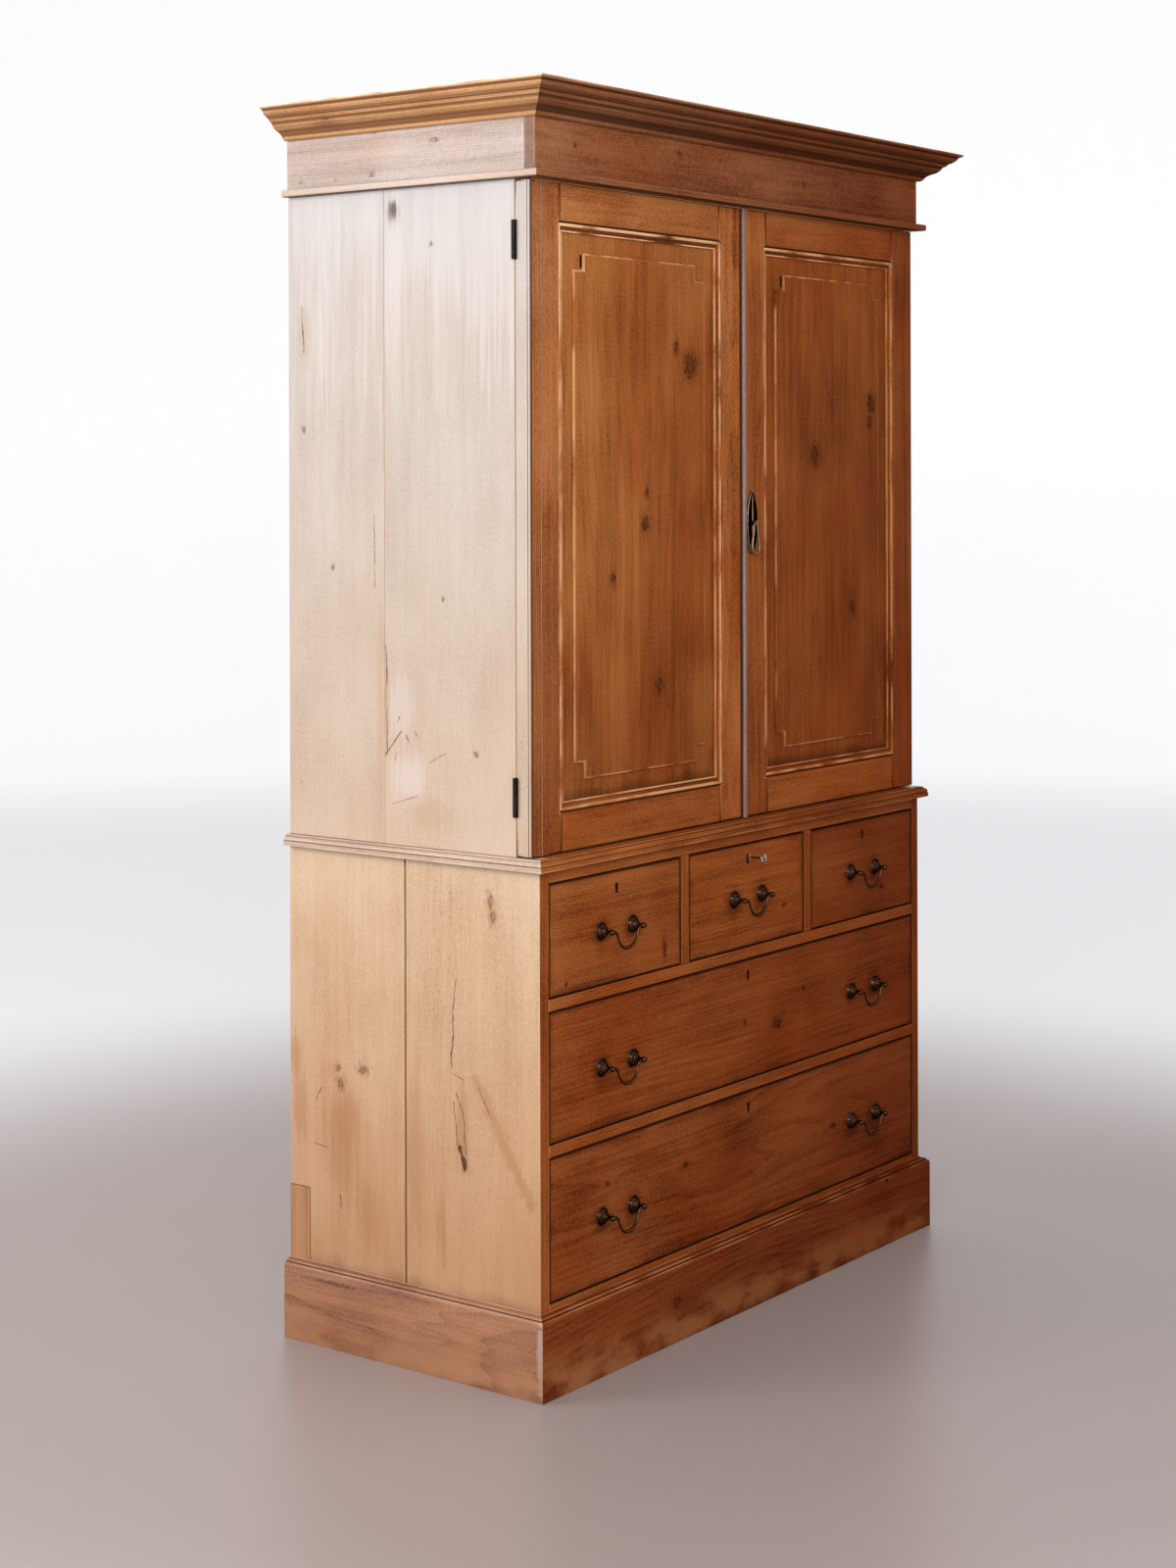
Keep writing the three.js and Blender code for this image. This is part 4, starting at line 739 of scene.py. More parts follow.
# The waist moulding: a rounded nosing with two small steps, mitred round the chest's top edge. The
# cupboard stands inside it. Its sides are rubbed pale, with painted highlights on the rubbed
# edges, and its underside is marked dark as painted shade.
waist_section = [
    (0.0003, 0.0), (0.0151, 0.0), (0.0156, 0.0005), (0.0156, 0.0074), (0.0142, 0.0082),
    *rounded((0.0143, 0.0089), (0.0146, 0.0098), (0.0143, 0.0121), (0.0131, 0.0144),
             (0.0112, 0.016), (0.0087, 0.0168)),
    (0.0084, 0.0185), (0.008, 0.019), (0.0069, 0.0195), (0.0003, 0.0195),
]
waist_side_tones = ((0.64, 0.5, 0.41), (0.5, 0.365, 0.28), (0.36, 0.235, 0.16),
                    (0.2, 0.11, 0.07))
waist_low = 0.849
lengths("waist", [(out, waist_low + up) for out, up in waist_section], case_plan,
        "waist_moulding", (31, 32, 33),
        dict(tones=front_tones, wear_and_highlight=0.7, worn=(0.7, 0.36, 0.19), **front_look),
        dict(tones=waist_side_tones, specular=0.5, wear_and_highlight=0.7, roughness=0.38), shade=0.9)


# Five drawers. Each front is lap-dovetailed to its sides behind the face, so the face is one clean
# waxed board with a plain keyhole, and a steel lock is let in behind it. A drawer's table holds
# its shade, its seed, its knots, and where its handles are.
drawer_face = case_face + 0.001
facing = 0.0068
post_reach = 0.0445
handle_out = 0.398667
drawers = {
    "small_left": ((1.02,), 41, [(0.677, -0.26, 0.014, 0.28), (0.657, -0.538, 0.0025, 1.0)],
                   0.7305, (-handle_out,)),
    "small_middle": ((1.13, 1.13, 1.05), 42, [(0.7, 0.12, 0.003, 1.4)], 0.7305, (0.0,)),
    "small_right": ((0.87, 0.81, 0.78), 43, [(0.69, 0.47, 0.004, 1.5)],
                    0.7305, (handle_out,)),
    "middle": ((0.92, 0.84, 0.83), 44,
               [(0.4876, 0.096, 0.008, 1.3), (0.5057, -0.011, 0.003, 1.2),
                (0.5357, 0.187, 0.003, 1.2)], 0.50475, (-handle_out, handle_out)),
    "bottom": ((0.97, 0.97, 1.15), 45,
               [(0.291, -0.197, 0.004, 1.5), (0.261, 0.289, 0.004, 1.5),
                (0.307, -0.427, 0.003, 1.2)], 0.25775, (-handle_out, handle_out)),
}
top_gap = 0.0013
box_pine = pine("drawer_box_pine", "xzy", inside_tones, 46, roughness=0.7, wear_and_highlight=0.0)


def metal(name, dark, bright, roughness, metallic=1.0, rust=None, specular=0.5, rim=1.0):
    """Old metal: dark in its hollows, brighter where hands rub it."""
    material, tree, shader = blank(name, roughness, metallic=metallic, specular=specular)
    shader.inputs["Specular Tint"].default_value = (rim, rim * 0.8, rim * 0.66, 1)
    place = node(tree, "TexCoord", out=3)
    blotch = cloud(place, (180, 180, 180), 4.0)
    speck = cloud(place, (900, 900, 900), 3.0)
    relief = node(tree, "Attribute", out=2, attribute_name="relief")
    share = calc("ADD", remap(blotch, 0.35, 0.68, 0.0, 0.4),
                 remap(relief, 0.0, 1.0, 0.0, 0.6))
    colour = tint(share, dark, bright)
    if rust:
        colour = tint(remap(speck, 0.56, 0.68, 0.0, 0.6), colour, rust)
    feed(shader.inputs["Base Color"], colour)
    feed(shader.inputs["Roughness"], calc("MULTIPLY_ADD", speck, 0.24, roughness - 0.12))
    feed(shader.inputs["Normal"],
         node(tree, "Bump", {"Strength": 0.12, "Distance": 0.0003, "Height": blotch}))
    return material


steel = metal("lock_steel", (0.23, 0.22, 0.21), (0.48, 0.46, 0.44), 0.42,
              rust=(0.16, 0.08, 0.05))
lock_depth, lock_half, lock_drop = 0.0219, 0.0282, 0.047
keyhole_drop, slot_half, round_radius, slot_drop = 0.025, 0.0036, 0.0047, 0.0125


def welded(name):
    """A copy of a node's own mesh, with its loose faces joined."""
    bm = bmesh.new()
    bm.from_mesh(nodes[name].data)
    bmesh.ops.remove_doubles(bm, verts=bm.verts, dist=1e-6)
    return bm


def keyhole(bm, x, z, front, back):
    """The cutter for a keyhole: a round hole running into a slot. Its walls are marked dark, as the
    painted shade inside the hole.
    """
    first = math.asin(slot_half / round_radius)
    turns = [math.pi - first - i * (2 * math.pi - 2 * first) / 16 for i in range(17)]
    outline = [(round_radius * math.sin(turn), round_radius * math.cos(turn)) for turn in turns]
    outline += [(-slot_half, -slot_drop), (slot_half, -slot_drop)]
    outline = [(x + across, z + up) for across, up in outline]
    marked(bm, prism(bm, outline, front, back), -1.0)


for label, (shade, seed, knots, handle_z, handle_xs) in drawers.items():
    low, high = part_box(f"drawer_front_{label}")
    middle = (low.x + high.x) / 2
    hole_z = high.z - keyhole_drop
    # Darker patches round each handle post: painted shadow of the handles.
    post_shadows = [(handle_z - 0.006, x + side * post_reach, 0.034, 0.03, 0.75)
             for x in handle_xs for side in (-1, 1)]
    face_pine = pine(f"drawer_{label}_pine", "zyx", toned(front_tones, *shade), seed, knots=knots,
                     wear_and_highlight=0.5, pith=(0.3, 0.1), stains=post_shadows, **front_look,
                     rim_dirt_and_shade=(low.z, high.z, low.x, high.x, 0.016, 0.6))
    bm, cutters = bmesh.new(), bmesh.new()
    # The face's edges along the gaps are marked dark, as dirt and painted shade.
    board(bm, (low.x, drawer_face, low.z), (high.x, drawer_face + facing, high.z - top_gap),
          soften=0.0014, margin=0.0022, edge=-0.9)
    keyhole(cutters, middle, hole_z, drawer_face - past, drawer_face + 2 * past)
    bm = carved(bm, cutters)
    # The keyhole's walls take the near-black gap finish: painted shade in the hole.
    for face in bm.faces:
        centre = face.calc_center_median()
        face.material_index = int(abs(centre.x - middle) < 0.005
                                  and drawer_face < centre.y - 0.0003
                                  and abs(centre.z - hole_z + 0.004) < 0.014)
    made(f"drawer_{label}_face", bm, f"drawer_{label}", [face_pine, gap_shade_pine],
         [f"drawer_front_{label}"])
    bm = welded(f"drawer_front_{label}")
    cut = bmesh.ops.bisect_plane(bm, geom=[*bm.verts, *bm.edges, *bm.faces],
                                 plane_co=(0, drawer_face + facing, 0), plane_no=(0, -1, 0),
                                 clear_outer=True)["geom_cut"]
    bmesh.ops.triangle_fill(bm, use_beauty=True,
                            edges=[part for part in cut if isinstance(part, bmesh.types.BMEdge)])
    # The keyhole's walls in the core, and the core's face behind the facing, are marked dark:
    # painted shade.
    layer = relief_layer(bm)
    for vert in bm.verts:
        in_keyhole = (abs(vert.co.x - middle) < 0.0045
                      and abs(vert.co.z - hole_z + 0.004) < 0.012)
        in_shade = in_keyhole or vert.co.y < drawer_face + facing + 0.001
        vert[layer] = -1.0 if in_shade else 0.0
    for face in bm.faces:
        centre = face.calc_center_median()
        face.material_index = int(centre.y > drawer_face + lock_depth
                                  and abs(centre.x - middle) < lock_half
                                  and centre.z > high.z - lock_drop)
    made(f"drawer_{label}_core", bm, f"drawer_{label}", [face_pine, steel],
         [f"drawer_front_{label}"], crease=20)
    box = nodes[f"drawer_box_{label}"]
    box.data.materials.clear()
    box.data.materials.append(box_pine)


# Seven handles of cast and turned brass gone brown. Each has two posts screwed through the front,
# with a stepped rosette, a ball, and a swan-neck bail whose ends pass through the balls.
brass = metal("handle_brass", (0.02, 0.009, 0.005), (0.13, 0.066, 0.036), 0.24, rim=0.3)
pivot_y = drawer_face - 0.023
post_line = [
    (0.0, 0.0003), (0.016, 0.0003), (0.016, 0.001),
    *rounded((0.0156, 0.0016), (0.0147, 0.0019), (0.0138, 0.0016), steps=2),
    *rounded((0.0134, 0.0024), (0.0129, 0.0038), (0.0116, 0.0055), (0.0098, 0.0071),
             (0.0088, 0.0077), steps=3),
    (0.0083, 0.0076), *rounded((0.0081, 0.0085), (0.0072, 0.0099), (0.0056, 0.0108),
                               (0.004, 0.0118), (0.0033, 0.0134), (0.003, 0.016),
                               (0.0033, 0.0182), steps=2),
    *rounded((0.0034, 0.019), (0.0046, 0.0206), (0.005, 0.023), (0.0045, 0.0252),
             (0.003, 0.027), (0.0, 0.0277), steps=3),
]


def turned(bm, line, x, z, face_y, steps=24):
    """A turned piece that stands out from the face: its outline spun round its own axis."""
    layer = relief_layer(bm)
    closed = list(line) + [(-out, up) for out, up in reversed(line[1:-1])]
    verts = [bm.verts.new((x + out, face_y - up, z)) for out, up in line]
    for vert, value in zip(verts, relief_of(closed, 0.0012)):
        vert[layer] = value
    edges = [bm.edges.new(pair) for pair in zip(verts, verts[1:])]
    bmesh.ops.spin(bm, geom=verts + edges, cent=(x, 0, z), axis=(0, 1, 0), dvec=(0, 0, 0),
                   angle=2 * math.pi, steps=steps, use_merge=True, use_duplicate=False)
    bmesh.ops.remove_doubles(bm, verts=bm.verts, dist=1e-6)


def tube(bm, line, radii, across, sides=12, closed=False):
    """A round bar along a line that lies flat to the direction across, closed at its ends."""
    relief_layer(bm)
    rings = []
    count = len(line)
    for i, (point, radius) in enumerate(zip(line, radii)):
        if closed:
            along = Vector(line[(i + 1) % count]) - Vector(line[i - 1])
        else:
            along = Vector(line[min(i + 1, count - 1)]) - Vector(line[max(i - 1, 0)])
        along.normalize()
        side = Vector(across).cross(along).normalized()
        turn = Matrix((side, along.cross(side), along)).transposed().to_4x4()
        ring = bmesh.ops.create_circle(bm, segments=sides, radius=radius,
                                       matrix=Matrix.Translation(point) @ turn)["verts"]
        marked(bm, ring, 0.6)
        rings.append(ring)
    loops = [list({edge for vert in ring for edge in vert.link_edges}) for ring in rings]
    for i in range(count if closed else count - 1):
        bmesh.ops.bridge_loops(bm, edges=loops[i] + loops[(i + 1) % count])
    if not closed:
        for ring in (rings[0], rings[-1]):
            bm.faces.new(ring)


def thickness_along(values, steps=4):
    """Spreads a bar's thickness over as many steps as rounded() makes of its line."""
    return [value for _, value in rounded(*enumerate(values), steps=steps)]


half_bail = [(0, -0.031), (0.0089, -0.0301), (0.0169, -0.026), (0.0236, -0.0186),
             (0.0276, -0.0102), (0.0312, -0.0031), (0.0352, 0.0), (0.0389, 0.0)]
bail_thickness = [0.0031, 0.003, 0.0025, 0.0019, 0.0018, 0.0026, 0.0023, 0.0016]
finial = [(0.045, 0), (0.0501, 0), (0.0513, 0), (0.0524, 0), (0.0533, 0), (0.0539, 0)]
finial_thickness = [0.0016, 0.0016, 0.0023, 0.0024, 0.0018, 0.0007]
side_line = rounded(*half_bail) + finial
side_thickness = thickness_along(bail_thickness) + finial_thickness
bail_line = [(-out, up) for out, up in side_line[:0:-1]] + side_line
bail_radii = side_thickness[:0:-1] + side_thickness
for drawer, (_, _, _, z, handle_xs) in drawers.items():
    for x in handle_xs:
        end = "_left" if x < 0 else "_right"
        label = drawer if len(handle_xs) == 1 else drawer + end
        bm = bmesh.new()
        for side in (-1, 1):
            turned(bm, post_line, x + side * post_reach, z, drawer_face)
        made(f"handle_{label}_posts", bm, f"drawer_{drawer}", [brass], crease=50)
        bm = bmesh.new()
        tube(bm, [(x + out, pivot_y, z + up) for out, up in bail_line], bail_radii, (0, 1, 0))
        made(f"bail_{label}_bar", bm, f"bail_{label}", [brass], [f"bail_{label}"],
             crease=50)


# The key in the middle small drawer, and the bolt it lifts: a filed steel shank with a collar, a
# ring bow and a plain bit. The bolt slides up inside the lock.
key_low, key_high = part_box("key")
key_z = 0.8015
bow_y, bow_reach, bow_half, bow_steps = key_low.y + 0.006, 0.0045, 0.0075, 28
bit_half, bit_depth = 0.0013, 0.004
bow_turns = [i * math.pi / (bow_steps / 2) for i in range(bow_steps)]
bm = bmesh.new()
turned(bm, [(0.0, 0.0), (0.0021, 0.0), (0.0024, 0.0004), (0.0024, 0.016), (0.0042, 0.0163),
            (0.0042, 0.0185), (0.0024, 0.0188), (0.0024, 0.0405), (0.003, 0.0415),
            (0.003, 0.0428), (0.002, 0.044), (0.0016, 0.0462), (0.0, 0.0464)],
       0, key_z, key_high.y, 16)
tube(bm, [(0, bow_y + bow_reach * math.cos(turn), key_z + bow_half * math.sin(turn))
          for turn in bow_turns], [0.0015] * bow_steps, (1, 0, 0), sides=10, closed=True)
board(bm, (-bit_half, key_high.y - bit_depth, key_low.z), (bit_half, key_high.y - 0.0002, key_z),
      soften=0.0003)
made("key_forged", bm, "key", [metal("key_steel", (0.2, 0.17, 0.15), (0.55, 0.5, 0.45), 0.34)],
     ["key"], crease=40)
bm = bmesh.new()
board(bm, bolt_low, bolt_high, soften=0.0004)
made("lock_bolt_bar", bm, "bolt", [steel], ["lock_bolt"], crease=35)


# The cupboard's case: each side is two upright planks joined tight, with notches at the front edge
# for the hinges; a bottom, a top, a boarded back and two shelves stand between them. Inside, the
# wood is bare.
upper_tones = ((0.565, 0.43, 0.334), (0.505, 0.378, 0.281), (0.44, 0.314, 0.227),
               (0.275, 0.165, 0.109))
# A pale patch high on the cupboard's left side: painted sheen of the window's glare.
painted_sheen = (0.0, 2.0, 0.6, 0.36, 0.6, (0.69, 0.545, 0.445))
# Painted light: the cupboard sides lose their warmth towards the top, as the window's glare whitens
# them; the right side changes only a little.
upper_look = dict(specular=0.45, roughness=0.4, figure=0.1, streaks=0.22, blotch=0.2, depth=1.3,
                  heart=(0.3, 0.17, 0.1), rims=0.9, dirt_and_shade_colour=crevice,
                  painted_light_falloff=(0.0, 1.11, -1.05, (0.74, 0.86, 1.03)))
right_painted_light = (0.0, 1.11, -1.05, (0.97, 0.96, 0.94))
plank_line, plank_seam = 0.0863, 0.0003
hinge_heights, hinge_half = (1.8695, 0.966), 0.0323
hinge_in, hinge_out, hinge_depth = 0.59, 0.62, 0.0035
cupboard_planks = {
    "left_front": (51, (-0.04, -0.53), dict(
        knots=[(-0.018, 1.872, 0.0022, 1.2), (-0.112, 1.0313, 0.0032, 1.0),
               (-0.0415, 1.2843, 0.002, 1.2)],
        cracks=[(0.0835, 1.2, 0.0815, 1.02, 0.0007), (0.0878, 1.0149, 0.0507, 1.0598, 0.0006),
                (0.0573, 1.0233, 0.0617, 1.0099, 0.0006), (0.0399, 1.0539, 0.0335, 1.0428, 0.0005),
                (0.0205, 1.0615, 0.0163, 1.0536, 0.0005), (0.0549, 1.0842, 0.0593, 1.0741, 0.0006),
                (0.0685, 0.9371, 0.0124, 0.9543, 0.0003),
                (-0.0134, 1.0114, -0.0473, 1.0281, 0.0003)],
        stains=[painted_sheen, (0.0359, 0.9804, 0.052, 0.048, 0.8, (0.56, 0.45, 0.39)),
                (0.0505, 1.1025, 0.035, 0.06, 0.6, (0.55, 0.445, 0.385)),
                (0.084, 1.12, 0.009, 0.12, 0.6, tan), (-0.0131, 0.9268, 0.05, 0.035, 0.4, tan),
                (0.07, 1.929, 0.02, 0.03, 0.45, tan),
                (0.068, 1.931, 0.013, 0.017, 0.75, (0.16, 0.08, 0.05)),
                (0.064, 1.935, 0.009, 0.015, 1.0, (0.03, 0.015, 0.01))])),
    "left_back": (52, (0.2, -0.52), dict(
        roughness=0.38, knots=[(0.2023, 1.3314, 0.0024, 1.2), (0.2696, 1.5666, 0.0024, 1.2)],
        cracks=[(0.275, 1.78, 0.269, 1.7, 0.0005), (0.11, 1.42, 0.108, 1.3, 0.0004)],
        stains=[painted_sheen, (0.095, 1.1, 0.012, 0.18, 0.4, tan), (0.27, 1.73, 0.02, 0.06, 0.4, tan),
                (0.2696, 1.5666, 0.004, 0.006, 0.9, crevice),
                (0.2023, 1.3314, 0.004, 0.005, 0.9, crevice)])),
    "right_front": (53, (-0.1, 0.54), dict(painted_light_falloff=right_painted_light, knots=[(-0.02, 1.45, 0.009, 1.4)])),
    "right_back": (54, (0.18, 0.53), dict(painted_light_falloff=right_painted_light, knots=[(0.21, 1.12, 0.01, 1.3)])),
}
bare_upright_pine = pine("bare_upright_pine", "yxz", inside_tones, 56, pith=(0.1, 0.3),
                         roughness=0.6, wear_and_highlight=0.2)
bare_level_pine = pine("bare_level_pine", "zxy", inside_tones, 57, roughness=0.7, wear_and_highlight=0.1)
bare_frieze_pine = pine("bare_frieze_pine", "zyx", inside_tones, 58, roughness=0.7, wear_and_highlight=0.1)
for side, sign in both_sides:
    low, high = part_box(f"upper_side_{side}")
    for plank, start, end in (("front", low.y, plank_line - plank_seam),
                              ("back", plank_line + plank_seam, high.y)):
        seed, pith, marks = cupboard_planks[f"{side}_{plank}"]
        finish = pine(f"upper_{side}_{plank}_pine", "yxz", upper_tones, seed, pith=pith,
                      **{**upper_look, **marks})
        bm = bmesh.new()
        board(bm, (low.x, start, low.z), (high.x, end, high.z), soften=0.0009)
        if plank == "front":
            cutters = bmesh.new()
            for height in hinge_heights:
                block(cutters, (sign * hinge_in, start - just_past, height - hinge_half),
                      (sign * hinge_out, start + hinge_depth, height + hinge_half))
            bm = carved(bm, cutters)
        piece = made(f"upper_{side}_{plank}_plank", bm, "case", [finish, bare_upright_pine],
                     [f"upper_side_{side}"])
        painted(piece, (-sign, 0, 0), 1)
        painted(piece, (0, -1, 0), 1)
for name in ("upper_bottom", "upper_top", "shelf_lower", "shelf_upper"):
    lone_board(name + "_board", *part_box(name), [inside_pine], "side_pine", [name])
planked("upper_back_boards", "upper_back", 9)


# The frieze: four boards round the cupboard's top, the front one lapping the side ones so that its
# end grain shows at the corners, with a rounded bead planted along the foot.
frieze_half, frieze_thickness = 0.6153, 0.022
frieze_face, frieze_back = case_face + 0.0017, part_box("frieze_frame")[1].y
frieze_plan = (frieze_half, frieze_face, frieze_back)
frieze_low, frieze_high = 1.9685, 2.112
frieze_side_tones = ((0.49, 0.4, 0.365), (0.4, 0.32, 0.285), (0.32, 0.24, 0.205),
                     (0.2, 0.135, 0.1))
# The frieze front is painted darker and greyer than the rest of the front: painted shade under the
# cornice. The bead and the cornice fronts take the same tones.
shaded_frieze_front_tones = toned(front_tones, 0.69, 0.72, 1.05)
frieze_front_pine = pine("frieze_front_pine", "zyx", shaded_frieze_front_tones, 61, **front_look,
                         knots=[(2.0419, -0.2066, 0.003, 1.3), (2.0279, -0.5071, 0.0025, 1.2),
                                (2.0434, -0.0808, 0.0022, 1.2), (2.0237, 0.1958, 0.003, 1.3)])
end_grain_tones = ((0.36, 0.26, 0.21), (0.28, 0.19, 0.15), (0.2, 0.13, 0.1), (0.1, 0.06, 0.04))
end_grain_pine = pine("frieze_end_grain_pine", "xzy", end_grain_tones, 62, roughness=0.55)
frieze_side_look = dict(specular=0.45, roughness=0.4, depth=1.4, dirt_and_shade_colour=crevice)
frieze_left_pine = pine("frieze_side_pine", "zxy", frieze_side_tones, 63, **frieze_side_look,
                        heart=(0.3, 0.2, 0.15),
                        knots=[(2.0427, -0.028, 0.0026, 2.4), (1.9954, 0.108, 0.0036, 0.9),
                               (2.0663, 0.1055, 0.0024, 1.6), (1.9918, 0.273, 0.0016, 1.2),
                               (1.9913, 0.1924, 0.0014, 1.2)],
                        stains=[(2.0427, -0.028, 0.006, 0.016, 0.6, (0.25, 0.16, 0.12)),
                                (1.9913, -0.1342, 0.003, 0.01, 0.8, tan),
                                (1.9894, -0.1608, 0.003, 0.01, 0.8, tan),
                                (2.0384, 0.0641, 0.02, 0.1, 0.25, tan)])
frieze_right_pine = pine("frieze_right_pine", "zxy", toned(upper_tones, 1.0, 0.95, 0.9), 67,
                         **frieze_side_look, heart=(0.3, 0.17, 0.1),
                         knots=[(2.03, 0.02, 0.005, 1.6)])
piece = lone_board("frieze_front_board", (-frieze_half, frieze_face, frieze_low),
                   (frieze_half, frieze_face + frieze_thickness, frieze_high),
                   [frieze_front_pine, end_grain_pine, bare_frieze_pine], "front_pine",
                   ["frieze_frame"])
for way, index in (((0, 1, 0), 2), ((0, 0, 1), 2), ((-1, 0, 0), 1), ((1, 0, 0), 1)):
    painted(piece, way, index)
frieze_in, side_start = frieze_half - frieze_thickness, frieze_face + frieze_thickness + hairline
for side, sign, finish in (("left", -1, frieze_left_pine), ("right", 1, frieze_right_pine)):
    piece = lone_board(f"frieze_{side}_board", (sign * frieze_half, side_start, frieze_low),
                       (sign * frieze_in, frieze_back, frieze_high),
                       [finish, bare_level_pine], "side_pine", ["frieze_frame"])
    painted(piece, (-sign, 0, 0), 1)
    painted(piece, (0, 0, 1), 1)
lone_board("frieze_back_board",
           (hairline - frieze_in, frieze_back - frieze_thickness, frieze_low),
           (frieze_in - hairline, frieze_back, frieze_high),
           [inside_pine], "side_pine", ["frieze_frame"])
bead_section = [
    (0.0003, 1.9685), *rounded((0.0118, 1.9685), (0.0133, 1.9692), (0.014, 1.971),
                               (0.014, 1.9782), (0.0132, 1.9799), (0.0115, 1.9805)),
    (0.0003, 1.9805),
]
bead_side_tones = ((0.54, 0.42, 0.35), (0.44, 0.33, 0.265), (0.33, 0.225, 0.17),
                   (0.2, 0.12, 0.08))
# The bead's underside is marked dark: painted shadow over the doors' tops.
lengths("frieze_bead", bead_section, frieze_plan, "frieze_frame", (64, 65, 66),
        dict(tones=shaded_frieze_front_tones, wear_and_highlight=0.6, **front_look),
        dict(tones=bead_side_tones, specular=0.5, wear_and_highlight=0.6, roughness=0.38), shade=1.5)


# The cornice: three lengths worked with planes to one section of hollows, rounds and fillets, and
# mitred at the front corners. The top of the frame behind it is left open.
cornice_out, cornice_low, cornice_rise = 0.0686, 2.066, 0.054
cornice_shares = [
    (0.071, 0.0), (0.11, 0.022),
    *rounded((0.15, 0.065), (0.198, 0.157), (0.291, 0.24), (0.418, 0.311), (0.508, 0.413)),
    (0.565, 0.528), *rounded((0.607, 0.544), (0.654, 0.6), (0.69, 0.652), (0.727, 0.663),
                             steps=3),
    *rounded((0.755, 0.69), (0.819, 0.75), (0.87, 0.822), (0.893, 0.885)),
    (0.992, 0.935), (1.0, 1.0),
]
cornice_section = [(0.0003, cornice_low + 0.0003)] + [
    (out * cornice_out, cornice_low + up * cornice_rise) for out, up in cornice_shares
] + [(0.0003, cornice_low + cornice_rise)]
cornice_side_tones = ((0.66, 0.4, 0.195), (0.555, 0.295, 0.125), (0.39, 0.175, 0.065),
                      (0.2, 0.07, 0.022))
# The cornice's downward faces are marked darker as its painted shadow, and the side lengths'
# hollows take a red-brown dark of dirt and painted shade.
lengths("cornice", cornice_section, frieze_plan, "cornice_moulding", (71, 72, 73),
        dict(tones=shaded_frieze_front_tones, wear_and_highlight=0.8, worn=(0.62, 0.34, 0.19), **front_look),
        dict(tones=cornice_side_tones, specular=0.3, wear_and_highlight=1.0, roughness=0.38, depth=1.5,
             streaks=1.4, worn=(0.86, 0.67, 0.47), dirt_and_shade_colour=(0.17, 0.058, 0.018)),
        dict(stains=[(2.0914, 0.1805, 0.003, 0.012, 0.9, crevice),
                     (2.084, 0.1851, 0.012, 0.05, 0.5, (0.22, 0.08, 0.03))]), shade=0.7)


# Two doors, framed: stiles run the full height and the rails are tenoned between them. A moulding
# is worked round the inside and mitred, and each outer stile has a quirk on its face and its edge.
# door_lines holds each stile's edge, its joint with the rails, its moulding and its inner sight.
door_face, door_back = -0.2275, -0.1955
door_low, door_high = 0.871, 1.966
mould_z = (0.937, 1.9025)
sight_z = (0.953, 1.8865)
door_lines = {
    "left": ((-0.612, -0.535, -0.5395, -0.5235), (-0.0011, -0.0696, -0.0616, -0.0776)),
    "right": ((0.612, 0.535, 0.5395, 0.5235), (0.0011, 0.0831, 0.0751, 0.0911)),
}
mould_width, mould_depth = 0.016, 0.008
door_mould = [(across * mould_width, sink * mould_depth) for across, sink in (
    (0, 0), (0.07, 0.2), (0.14, 0), *rounded((0.18, -0.02), (0.3, -0.02), (0.42, 0.14),
                                             (0.5, 0.42), (0.66, 0.62), (0.8, 0.66)),
    (0.84, 0.52), (0.94, 0.52), (1.0, 0.72), (1.0, 4.0), (0, 4.0))]
door_look = {**front_look, "wear_and_highlight": 0.8, "worn": (0.74, 0.42, 0.22)}
door_shades = {
    "left": {"hanging": (1.0, 1.05, 1.2), "meeting": (1.24, 1.36, 1.55), "top": (1.07, 1.12, 1.2),
             "bottom": (1.1,)},
    "right": {"hanging": (0.95,), "meeting": (1.05,), "top": (1.05,), "bottom": (1.3, 1.5, 1.6)},
}
door_finishes, door_seed = {}, 81
for side, shades in door_shades.items():
    for part, shade in shades.items():
        kind, axes = ("stile", "xyz") if part in ("hanging", "meeting") else ("rail", "zyx")
        darkened = [(-0.575, 1.05, 0.12, 0.45, 0.2)] if door_seed == 81 else ()
        door_finishes[side, part] = pine(f"{side}_{part}_{kind}_pine", axes,
                                         toned(front_tones, *shade), door_seed,
                                         stains=darkened, **door_look)
        door_seed += 1
# Each run of the door moulding is painted lighter or darker by the way it faces: lightest on the
# run facing the window, darkest on the top run, which faces down. Painted light and shade.
moulding_painted_light = {"left": (1.3, 1.4, 1.6), "top": (0.95, 0.95, 1.0), "right": (1.6, 1.8, 2.1),
                   "bottom": (1.4, 1.5, 1.6)}
moulding_look = {**door_look, "wear_and_highlight": 1.0, "worn": (0.92, 0.57, 0.34), "depth": 2.2}
door_edge_pine = pine("door_edge_pine", "yxz", upper_tones, 89,
                      **{**upper_look, "roughness": 0.36})
face_quirk, edge_quirk, quirk_depth = (0.5854, 0.587), (0.6106, 0.62), 0.0014
edge_quirk_y = (door_face + 0.0065, door_face + 0.0081)
joint_dirt_and_shade = 0.0012


def slab(bm, outline, front, back, soften=0.001, margin=0.003, edge=1.0):
    """A board cut to an outline, seen from the front, with softened edges."""
    softened(bm, prism(bm, outline, front, back), soften, margin, edge)


